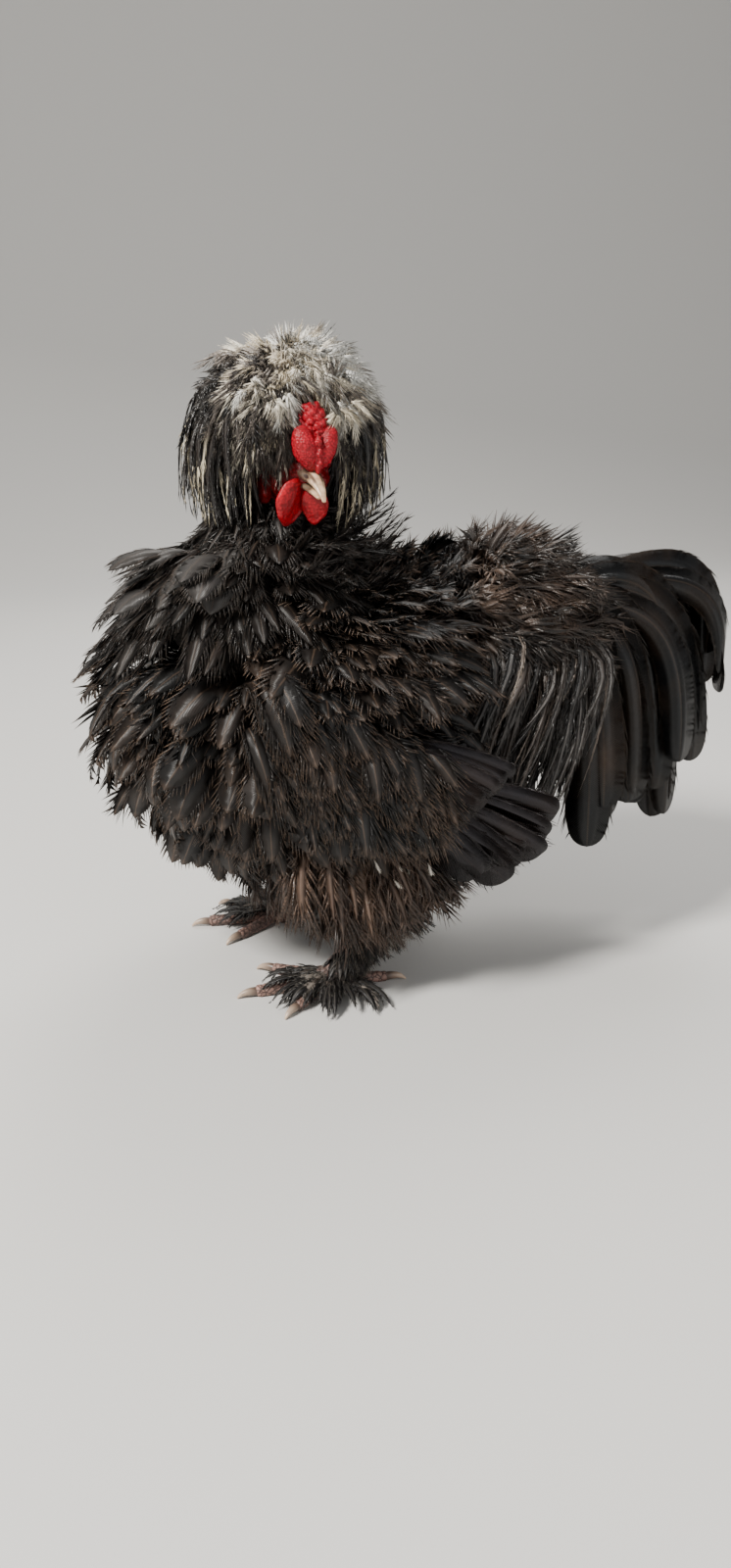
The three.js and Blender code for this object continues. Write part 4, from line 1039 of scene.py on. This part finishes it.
# The crest's crown: a dense powder-puff of soft plumes on the knob of the skull. They are
# white, grey and cream on top and grey-brown lower down, with long loose barbs.
WHITE, CREAM = (0.8, 0.79, 0.74, 1), (0.7, 0.6, 0.43, 1)
GREY, DUSK, BLACK = (0.25, 0.215, 0.185, 1), (0.055, 0.04, 0.031, 1), (0.006, 0.005, 0.005, 1)
CREST_COAT = {"centre": (22, -11, 310), "radii": (52, 55, 53), "turn": (0, 0, 0)}
BEAK_TURN = 98  # the way the face looks
TUFTS = (  # middle, reach and number of plumes of each white tuft beside and over the comb
    ((71, -23.5, 329), 9, 16), ((68, 15, 321), 8, 14), ((63, -38, 335), 9, 8), ((63, -14, 342), 11, 8),
    ((69, -27, 313), 8, 6),
)
crown_plume = feather_finish(
    "crown_plume", black=BLACK, brown=DUSK, patch=0.5, edge=(0.5, 0.46, 0.39, 1), edge_amount=0.22,
    tones=((0.0, BLACK), (0.3, DUSK), (0.55, GREY), (0.75, CREAM), (1.0, WHITE)))


def dome(rng, many, edge):
    """Even cover of a dome: angles off its top, down to its edge, and turns round it."""
    off = np.degrees(np.arccos(1 - rng.random(many) * (1 - math.cos(math.radians(edge)))))
    return off, np.arange(many) * GOLDEN_TURN % 360


def off_beak(turn):
    """The turn round the head from the way the face looks, from -180 to 180."""
    return (turn - BEAK_TURN + 180) % 360 - 180


rng = np.random.default_rng(131)
off, turn = dome(rng, 800, 80)
keep = (np.abs(off_beak(turn)) > 17) | (off < 46)
off, turn = off[keep], turn[keep]
many = len(off)
to_off = off * 1.12 + rng.uniform(2, 26, many)
to_off = np.where(np.abs(off_beak(turn)) < 20, np.minimum(to_off, 44), to_off)
spec = growing(KNOB, CREST_COAT, off, turn, to_off, turn + rng.uniform(-12, 12, many),
               rng.uniform(0.3, 0.8, many), rng.uniform(0.7, 0.98, many))
high = np.clip((spec["tip"][:, 2] - 322) / 36, -0.6, 1)
rear = np.clip((spec["tip"][:, 1] + 24) / 40, -0.9, 0.5)
whiteness = np.clip(0.22 + 0.56 * high + 0.36 * rear + rng.normal(0, 0.2, many), 0, 1)
dark_side = ((turn + 100) % 360 < 140) & (off > 28)
whiteness = np.where(dark_side, 0.35 * whiteness, whiteness)
shorter = spec["root"] + 0.8 * (spec["tip"] - spec["root"])
spec["tip"] = np.where(dark_side[:, None], shorter, spec["tip"])
tuft_rng = np.random.default_rng(133)
roots, bends, tips = [], [], []
for middle, reach, number in TUFTS:
    away = unit(np.array(middle, float) - np.array(KNOB["centre"], float))
    for _ in range(number):
        start = middle - away * 9 + tuft_rng.uniform(-5, 5, 3)
        roots.append(start)
        bends.append(start + away * 0.6 * reach + np.array([0, 0, 4]))
        tips.append(start + (away * 0.7 + tuft_rng.uniform(-0.7, 0.7, 3) - 0.7 * UP) * reach)
roots, bends, tips = np.array(roots), np.array(bends), np.array(tips)
tufts = quills(roots, bends, tips, np.cross(tips - roots, [0.3, 0.2, 1.0]))
plumage("crest_crown", crown_plume, "grey_feathers", [
    feathers(spec, rng.uniform(7, 14, many), whiteness, 7, LANCE, barbs=22, web=0.0, slant=1.7, loose=0.5,
             thick=0.25, rings=4, fine=0.36, form=KNOB),
    feathers(tufts, *drawn(tuft_rng, tufts, (5, 8), (0.75, 1)), 24, LANCE, barbs=24, web=0.0, slant=1.8,
             loose=0.5, thick=0.2, rings=3, fine=0.3, form=KNOB),
], "crest")

# Soft down lies between the crown and the strands: over the brow beside the comb it is grey-brown
# fluff with paler ends, and on top it is a haze of fine white wisps.
rng = np.random.default_rng(135)
many = 620
brow = np.arange(many) < 300
off = np.where(brow, rng.uniform(44, 92, many), rng.uniform(4, 56, many))
beside_comb = np.where(rng.random(many) < 0.72, rng.uniform(42, 84, many), rng.uniform(114, 150, many))
turn = np.where(brow, beside_comb, rng.uniform(44, 235, many))
to_off, to_turn = off + rng.uniform(2, 34, many), turn + rng.uniform(-14, 14, many)
lift = rng.uniform(0.3, 0.6, many)
reach = np.where(brow, rng.uniform(0.84, 0.98, many), rng.uniform(0.82, 1.0, many))
spec = growing(KNOB, CREST_COAT, off, turn, to_off, to_turn, lift, reach)
brow_tone = np.clip(0.46 + 0.012 * (spec["tip"][:, 2] - 318) + rng.normal(0, 0.1, many), 0.2, 0.9)
brow_tone = np.where(rng.random(many) < 0.12, 0.85, brow_tone)
top_tone = np.clip(0.62 + 0.012 * (spec["tip"][:, 1] + 20) + rng.normal(0, 0.15, many), 0.2, 1)
plumage("crest_down", crown_plume, "grey_feathers", [
    feathers(spec, rng.uniform(6, 12, many), np.where(brow, brow_tone, top_tone), 27, LANCE, barbs=26,
             web=0.0, slant=2.0, loose=0.55, thick=0.18, rings=4, fine=0.28, form=KNOB),
])

# The crest's strands: long narrow glossy feathers that fall all round the crown, parted in
# front over the comb. They are black, and many end in cream.
CREST_HEM = {"centre": (22, -11, 304), "radii": (57, 63, 62), "turn": (0, 0, 0)}
strand_feather = feather_finish(
    "crest_strand", black=(0.0055, 0.005, 0.005, 1), brown=(0.026, 0.017, 0.012, 1), patch=0.5,
    edge=(0.2, 0.155, 0.12, 1), edge_amount=0.08, gloss=0.12, Specular_IOR_Level=0.6)
cream_strand = feather_finish(
    "cream_tipped_strand", black=(0.007, 0.006, 0.0055, 1), brown=(0.04, 0.027, 0.019, 1), patch=0.6,
    edge=(0.36, 0.28, 0.19, 1), edge_amount=0.22, tip=(0.84, 0.74, 0.54, 1), tip_amount=0.97, tip_start=0.68)


def strands(seed, many, off_low, off_high, to_low, to_high):
    """Feathers that leave the knob, stand out a little and hang down round the head."""
    rng = np.random.default_rng(seed)
    off = rng.uniform(off_low, off_high, many)
    turn = (np.arange(many) * GOLDEN_TURN + rng.uniform(-10, 10, many)) % 360
    brow = (turn > 40) & (turn < 84)
    kept = (np.abs(off_beak(turn)) > 23) & (~brow | (rng.random(many) < 0.4))
    off, turn = off[kept], turn[kept]
    many = len(off)
    to_off = rng.uniform(to_low, to_high, many)
    over_face = (turn > 60) & (turn < 98)
    to_off = np.where(over_face, np.minimum(to_off, rng.uniform(94, 116, many)), to_off)
    parting = np.where(np.abs(off_beak(turn)) < 45, np.sign(off_beak(turn)) * 6, 0)
    return growing(KNOB, CREST_COAT, off, turn, to_off, turn + parting + rng.uniform(-9, 9, many),
                   rng.uniform(0.26, 0.42, many), rng.uniform(0.82, 1.02, many)), rng


def long_strands(seed, many, turn_low, turn_high, off_low, off_high):
    """Feathers rooted near the crown that arch over the whole crest and hang to the ruff."""
    rng = np.random.default_rng(seed)
    turn = rng.uniform(turn_low, turn_high, many)
    off = rng.uniform(off_low, off_high, many)
    root, normal = on_form(KNOB, heading(off, turn))
    centre = np.array(CREST_COAT["centre"], float)
    over, _ = on_form(CREST_COAT, heading(rng.uniform(42, 78, many), turn + rng.uniform(-6, 6, many)))
    end, _ = on_form(CREST_HEM, heading(rng.uniform(112, 142, many), turn + rng.uniform(-8, 8, many)))
    bend = centre + (over - centre) * rng.uniform(1.16, 1.32, many)[:, None]
    tip = centre + (end - centre) * rng.uniform(0.86, 0.98, many)[:, None]
    return quills(root - normal * 3, bend, tip, np.cross(tip - bend, over - centre)), rng


spec, rng = strands(141, 230, 42, 92, 96, 146)
arching, arching_rng = long_strands(145, 190, -110, 48, 8, 50)
behind, behind_rng = long_strands(147, 80, 132, 250, 20, 60)
inner, inner_rng = strands(151, 190, 60, 100, 122, 150)
many = len(inner["root"])
knob_middle = np.array(KNOB["centre"], float)
inner["tip"] = knob_middle + (inner["tip"] - knob_middle) * inner_rng.uniform(0.66, 0.94, many)[:, None]
inner["tip"][:, 2] -= inner_rng.uniform(6, 15, many)
plumage("crest_strands", strand_feather, "grey_feathers", [
    feathers(spec, *drawn(rng, spec, (6, 11)), 8, LANCE, barbs=24, web=0.45, slant=1.8, loose=0.3, form=KNOB),
    feathers(arching, *drawn(arching_rng, arching, (4, 9)), 18, LANCE, barbs=34, web=0.6, slant=2.4,
             loose=0.13, rings=10, form=KNOB),
    feathers(behind, *drawn(behind_rng, behind, (5, 9)), 19, LANCE, barbs=34, web=0.6, slant=2.4,
             loose=0.13, rings=10, form=KNOB),
    feathers(inner, *drawn(inner_rng, inner, (9, 14)), 26, LANCE, barbs=16, web=0.6, slant=1.6, loose=0.3,
             form=KNOB),
])
spec, rng = strands(143, 120, 46, 92, 92, 142)
arching, arching_rng = long_strands(149, 44, -100, 60, 20, 60)
cheek, cheek_rng = long_strands(155, 18, 114, 168, 34, 66)
plumage("crest_cream_tips", cream_strand, "grey_feathers", [
    feathers(spec, *drawn(rng, spec, (3.5, 7)), 9, LANCE, barbs=26, web=0.35, slant=2.2, loose=0.4, fine=0.45,
             form=KNOB),
    feathers(arching, *drawn(arching_rng, arching, (3, 5.5)), 20, LANCE, barbs=30, web=0.4, slant=2.4,
             loose=0.3, rings=9, fine=0.45, form=KNOB),
    feathers(cheek, *drawn(cheek_rng, cheek, (4, 7)), 28, LANCE, barbs=28, web=0.3, slant=2.4, loose=0.4,
             rings=9, fine=0.45, form=KNOB),
])

# The wings: stiff black flight feathers with a purple-blue sheen that droop behind the hand,
# under rows of curled coverts. Each web is smooth, with a stout shaft.
WRIST = np.array([86.0, 34.0, 134.0])
FLIGHTS, SHORT_FLIGHTS = 10, 9
flight_feather = feather_finish(
    "flight_feather", black=(0.004, 0.0034, 0.0038, 1), brown=(0.016, 0.0105, 0.008, 1), patch=0.8,
    edge=(0.075, 0.055, 0.045, 1), edge_amount=0.14, lines=0.45, gloss=0.14, Specular_IOR_Level=0.28,
    Specular_Tint=(0.97, 0.93, 1.0, 1))


def mirrored(spec, side):
    """Feathers of the left side as they are, or mirrored to the right."""
    flip = np.array([side, 1, 1.0])
    return {key: rows * flip * (side if key == "across" else 1) for key, rows in spec.items()}


def flight_rows(seed):
    """The fan of long flight feathers behind the wrist, and the short ones over it."""
    rng = np.random.default_rng(seed)
    x, y, z = WRIST
    share, many = np.linspace(0, 1, FLIGHTS), FLIGHTS
    slope = np.radians(48 - 36 * share + rng.uniform(-3.5, 3.5, many))
    reach = 74 + 16 * np.sin(np.pi * (0.15 + 0.6 * share)) + rng.uniform(-9, 4, many)
    root = np.stack([x - 5 + 6 * share, np.full(many, y - 16), z - 2 + 8 * share], 1)
    tip = np.stack([x + 1 + 7 * share + rng.uniform(-3, 5, many), y + reach * np.cos(slope),
                    z - 3 - reach * np.sin(slope)], 1)
    bow = np.stack([rng.uniform(2, 9, many), np.zeros(many), rng.uniform(6, 13, many)], 1)
    broad = np.stack([rng.uniform(0.1, 0.7, many), np.sin(slope), np.cos(slope)], 1)
    share = np.linspace(0, 1, SHORT_FLIGHTS)
    short_root = np.stack([x + 3.5 + 2 * share, 2 + 18 * share, 146 + 12 * share], 1)
    short_tip = np.stack([x + 13 + 4 * share, 58 + 34 * share, 104 + 34 * share], 1)
    root, tip = np.concatenate([root, short_root]), np.concatenate([tip, short_tip])
    bow = np.concatenate([bow, np.tile([5, 0, 7], (SHORT_FLIGHTS, 1))])
    broad = np.concatenate([broad, np.tile([0.3, 0.5, 0.8], (SHORT_FLIGHTS, 1))])
    return quills(root, (root + tip) / 2 + bow, tip, broad)


def covert_rows(seed, many):
    """Short curled feathers that cover the arm of the wing."""
    rng = np.random.default_rng(seed)
    y = rng.uniform(-46, 36, many)
    rise = rng.uniform(-24, 24, many)
    root = np.stack([82 - 0.06 * np.abs(y), y, 155 + rise - 0.4 * y], 1)
    tip = root + np.stack([rng.uniform(20, 35, many), rng.uniform(6, 26, many),
                           rng.uniform(-36, -16, many)], 1)
    bend = root + np.stack([rng.uniform(18, 30, many), rng.uniform(-2, 8, many), rng.uniform(0, 16, many)], 1)
    return quills(root, bend, tip, np.tile([0, 1, 0.3], (many, 1))), rng


many = FLIGHTS + SHORT_FLIGHTS
for side, word in SIDES:
    plumage("flight_feathers_" + word, flight_feather, "black_feathers", [
        feathers(mirrored(flight_rows(151), side), np.linspace(27, 22, many),
                 np.resize([0.1, 0.9, 0.45], many), 10, SICKLE, barbs=46, web=0.93, slant=0.8,
                 loose=0.1, rings=26, thick=0.4, cup=0.2, blunt=0.9, end=30, fine=0.22, hem=0.93),
    ], "wing_" + word)
    spec, rng = covert_rows(153, 130)
    plumage("wing_coverts_" + word, body_feather, "black_feathers",
            [feathers(mirrored(spec, side), *drawn(rng, spec, (15, 25)), 11, barbs=22)])

# The saddle: a cushion of soft brown-black fluff on the rump, with long narrow glossy hackles
# that arch out of it and hang down both sides like a skirt.
CUSHION_COAT = {"centre": (0, 116, 196), "radii": (72, 64, 70), "turn": (0, 0, 0)}
HACKLE = {"outline": LANCE, "barbs": 32, "web": 0.55, "slant": 2.1, "loose": 0.2, "twist": 25, "rings": 9}
cushion_plume = feather_finish(
    "cushion_plume", black=(0.01, 0.0075, 0.006, 1), brown=(0.085, 0.052, 0.035, 1), patch=0.85,
    edge=(0.26, 0.18, 0.125, 1), edge_amount=0.26)
# the hackle ramp's palest stops colour the thin pale hackles below, which are painted highlights
saddle_hackle = feather_finish(
    "saddle_hackle", black=(0.009, 0.008, 0.008, 1), brown=(0.04, 0.026, 0.018, 1), patch=0.6,
    edge=(0.3, 0.23, 0.18, 1), edge_amount=0.2, Specular_IOR_Level=0.7,
    tones=((0.0, BLACK), (0.55, (0.016, 0.011, 0.008, 1)), (0.8, (0.05, 0.034, 0.026, 1)),
           (0.9, (0.12, 0.09, 0.07, 1)), (1.0, (0.36, 0.3, 0.25, 1))))
rng = np.random.default_rng(161)
many = 480
off, turn = dome(rng, many, 92)
spec = growing(RUMP, CUSHION_COAT, off, turn,
               off + rng.uniform(4, 24, many), turn + rng.uniform(-10, 10, many),
               rng.uniform(0.4, 0.65, many), rng.uniform(0.76, 1.0, many))
spec["bend"][:, 1] += 7
spec["tip"][:, 1] += rng.uniform(6, 20, many)
plumage("saddle_cushion", cushion_plume, "brown_feathers", [
    feathers(spec, *drawn(rng, spec, (15, 25)), 12, barbs=24, web=0.35, slant=1.3, loose=0.4, form=RUMP),
], "saddle")


def leaning(rng, root, bend, tip, outward, swing, rise):
    """Feathers whose faces look outward, each leaning its own way."""
    many = len(root)
    lean = np.stack([np.full(many, outward), rng.uniform(-swing, swing, many), rng.uniform(0, rise, many)], 1)
    return quills(root, bend, tip, np.cross(tip - root, lean))


for side, word in SIDES:
    rng = np.random.default_rng(163)
    many = 170
    share, outer = rng.random(many), rng.random(many)
    root = np.stack([rng.uniform(20, 36, many), 62 + 78 * share, 180 + 20 * outer], 1)
    bend = np.stack([68 + 18 * outer, 80 + 94 * share + rng.uniform(-8, 12, many),
                     194 + rng.uniform(0, 34, many)], 1)
    tip = np.stack([66 + 16 * outer - 8 * share, 36 + 108 * share + rng.uniform(-16, 8, many),
                    rng.uniform(94, 152, many)], 1)
    over = leaning(rng, root, bend, tip, 1, 0.5, 0.5)
    # some thin pale hackles are painted highlights: streaks of shine drawn as pale feathers
    pale = rng.random(many) < 0.13
    highlight_streak_tone = np.where(pale, rng.uniform(0.82, 0.94, many), rng.uniform(0, 0.8, many))
    width = np.where(pale, 0.38, 1.0) * rng.uniform(6, 11, many)
    under_rng = np.random.default_rng(164)
    many = 44
    share = under_rng.random(many)
    root = np.stack([under_rng.uniform(16, 28, many), 84 + 58 * share, under_rng.uniform(174, 190, many)], 1)
    bend = np.stack([under_rng.uniform(54, 64, many), 96 + 72 * share, under_rng.uniform(176, 200, many)], 1)
    tip = np.stack([under_rng.uniform(46, 62, many), 84 + 68 * share, under_rng.uniform(82, 106, many)], 1)
    under = leaning(under_rng, root, bend, tip, 1, 0.4, 0.4)
    plumage("saddle_hackles_" + word, saddle_hackle, "black_feathers", [
        feathers(mirrored(over, side), width, highlight_streak_tone, 13, **HACKLE),
        feathers(mirrored(under, side), *drawn(under_rng, under, (10, 15), (0, 0.5)), 23, **HACKLE),
    ])

# The tail: broad glossy sickles that rise from the rump, arch over and fall behind, over
# straighter feathers. They are black-brown on top and shine blue-green lower down.
TAIL_TIPS = np.array([  # place of the tip and width, from the topmost pair of feathers to the lowest
    [6, 250, 160, 24], [20, 244, 136, 25], [32, 238, 114, 27], [8, 232, 102, 25], [42, 224, 96, 27],
    [30, 208, 88, 26], [52, 198, 86, 26], [46, 180, 82, 24], [62, 162, 90, 23],
], float)
tail_feather = feather_finish(
    "tail_feather", black=(0.0032, 0.0032, 0.0034, 1), brown=(0.02, 0.012, 0.0075, 1), patch=0.9,
    edge=(0.11, 0.075, 0.05, 1), edge_amount=0.1, lines=0.6, gloss=0.17, Specular_IOR_Level=0.26,
    Specular_Tint=(0.95, 0.98, 1.0, 1))
for side, word in SIDES:
    rng = np.random.default_rng(171 + side)
    many = 42
    k = np.linspace(0, len(TAIL_TIPS) - 1, many)
    goal = np.stack([np.interp(k, np.arange(len(TAIL_TIPS)), column) for column in TAIL_TIPS.T], 1)
    goal[:, :3] += rng.uniform(-1, 1, (many, 3)) * np.array([10, 12, 15])
    shorten = np.where(np.arange(many) % 3 == 0, rng.uniform(0.6, 0.9, many), rng.uniform(0.9, 1.0, many))
    root = np.stack([4 + 1.5 * k, 140 + rng.uniform(-6, 8, many), 212 - 2.6 * k], 1)
    tip = root + (goal[:, :3] - root) * shorten[:, None]
    crown = np.interp(k, (0, 2, 5, 8), (272, 266, 250, 236)) + rng.uniform(-16, 6, many)
    bend = np.stack([tip[:, 0], 142 + (tip[:, 1] - 142) * rng.uniform(0.84, 1.06, many), crown], 1)
    tip[:3] = [[13, 266, 152], [22, 262, 166], [7, 258, 176]]
    bend[:3] = [[15, 280, 258], [24, 270, 254], [9, 268, 266]]
    spec = leaning(rng, root, bend, tip, 0.85, 0.4, 0.8)
    plumage("tail_sickles_" + word, tail_feather, "black_feathers", [
        feathers(mirrored(spec, side), goal[:, 3] * rng.uniform(0.85, 1.25, many), rng.random(many),
                 14, SICKLE, barbs=56, web=0.94, slant=0.8, loose=0.1, twist=36, rings=44, thick=0.35,
                 cup=0.2, blunt=0.9, end=55, fine=0.2, hem=0.94),
    ], "tail_" + word)

# The thigh and belly fluff: loose soft brown plumes round each drumstick, hanging to the hock,
# with a few white flecks. They have no firm web.
THIGH_HEIGHTS = (60, 68, 88, 104)
THIGH_RADII, THIGH_FLARES, THIGH_FALLS = (12, 15, 23, 26), (14, 20, 24, 24), (20, 30, 42, 46)
thigh_plume = feather_finish(
    "thigh_plume", black=(0.03, 0.018, 0.012, 1), brown=(0.13, 0.075, 0.048, 1), patch=0.9,
    edge=(0.3, 0.19, 0.13, 1), edge_amount=0.3,
    tones=((0.0, (0.022, 0.014, 0.01, 1)), (0.5, (0.06, 0.036, 0.025, 1)),
           (0.93, (0.12, 0.075, 0.052, 1)), (1.0, (0.75, 0.7, 0.62, 1))))
for side, word in SIDES:
    rng = np.random.default_rng(181)
    many = 190
    height = rng.uniform(60, 104, many)
    around = level(np.arange(many) * GOLDEN_TURN % 360)
    radius = np.interp(height, THIGH_HEIGHTS, THIGH_RADII)
    middle = np.stack([np.full(many, 46.0), 12 + 0.5 * (92 - height), height], 1)
    rear = np.maximum(around[:, 1], 0)
    flare = np.interp(height, THIGH_HEIGHTS, THIGH_FLARES) * rng.uniform(0.4, 1.05, many)
    root = middle + around * (radius - 4)[:, None]
    bend = middle + around * (radius + flare)[:, None]
    fall = np.interp(height, THIGH_HEIGHTS, THIGH_FALLS) * rng.uniform(0.75, 1.05, many)
    tip = bend + np.stack([np.full(many, 2.0), 26 * rear + 4, 12 * rear - fall], 1)
    bend = bend + np.stack([np.zeros(many), 10 * rear, np.full(many, 4.0)], 1)
    fluff = quills(root, bend, tip, np.cross(around, UP))
    few = 9
    root = np.stack([rng.uniform(76, 90, few), rng.uniform(14, 58, few), rng.uniform(66, 100, few)], 1)
    fall = np.stack([rng.uniform(1, 4, few), rng.uniform(-2, 5, few), rng.uniform(-8, -3, few)], 1)
    bend = root + fall * 0.5 + np.array([2.0, 0, 0])
    flecks = quills(root, bend, root + fall, np.tile([0, 0.8, 0.6], (few, 1)))
    plumage("thigh_plumes_" + word, thigh_plume, "brown_feathers", [
        feathers(mirrored(fluff, side), *drawn(rng, fluff, (13, 22), (0, 0.9)), 15, barbs=26, web=0.3,
                 slant=1.3, loose=0.4),
        feathers(mirrored(flecks, side), rng.uniform(2.5, 4, few), np.ones(few), 25, barbs=10, web=0.5,
                 loose=0.3),
    ])

# The leg feathers: short stiff black feathers down the outer side of each shank and over the
# outer toes, some streaked with white. They lie flat on the ground at their tips.
leg_feather = feather_finish(
    "leg_feather", black=(0.009, 0.008, 0.0075, 1), brown=(0.045, 0.03, 0.022, 1), patch=0.5,
    edge=(0.5, 0.45, 0.38, 1), edge_amount=0.4, tones=((0.0, BLACK), (0.7, BLACK), (0.88, DUSK), (1.0, GREY)))
for side, word in SIDES:
    rng = np.random.default_rng(191)
    many = 70
    t = rng.random(many)
    root = np.stack([52 - 3 * t, 36 + (12 + STEP[side] - 36) * t, 52 - 34 * t], 1)
    away = np.radians(rng.uniform(-35, 60, many))
    tip = root + np.stack([20 * np.cos(away), 14 - 20 * t + 18 * np.sin(away), -14 + 6 * t], 1)
    shank = quills(root, (root + tip) / 2 + np.array([2, 0, 7]), tip, np.cross(tip - root, [0.5, 0.2, 0.8]))
    many = 60
    out = level(rng.uniform(-20, 125, many))
    start = SOLE + (0, STEP[side], 9) + out * rng.uniform(2, 22, many)[:, None]
    reach = rng.uniform(16, 30, many)[:, None]
    tip = start + out * reach
    tip[:, 2] = rng.uniform(1.5, 5, many)
    toes = quills(start - 2 * UP, start + out * (0.5 * reach) + 7 * UP, tip, np.cross(out, UP))
    plumage("leg_feathers_" + word, leg_feather, "black_feathers", [
        feathers(mirrored(shank, side), *drawn(rng, shank, (8, 14)), 16, LANCE, barbs=16, loose=0.25),
        feathers(mirrored(toes, side), *drawn(rng, toes, (6, 11)), 17, LANCE, barbs=16, loose=0.25),
    ])
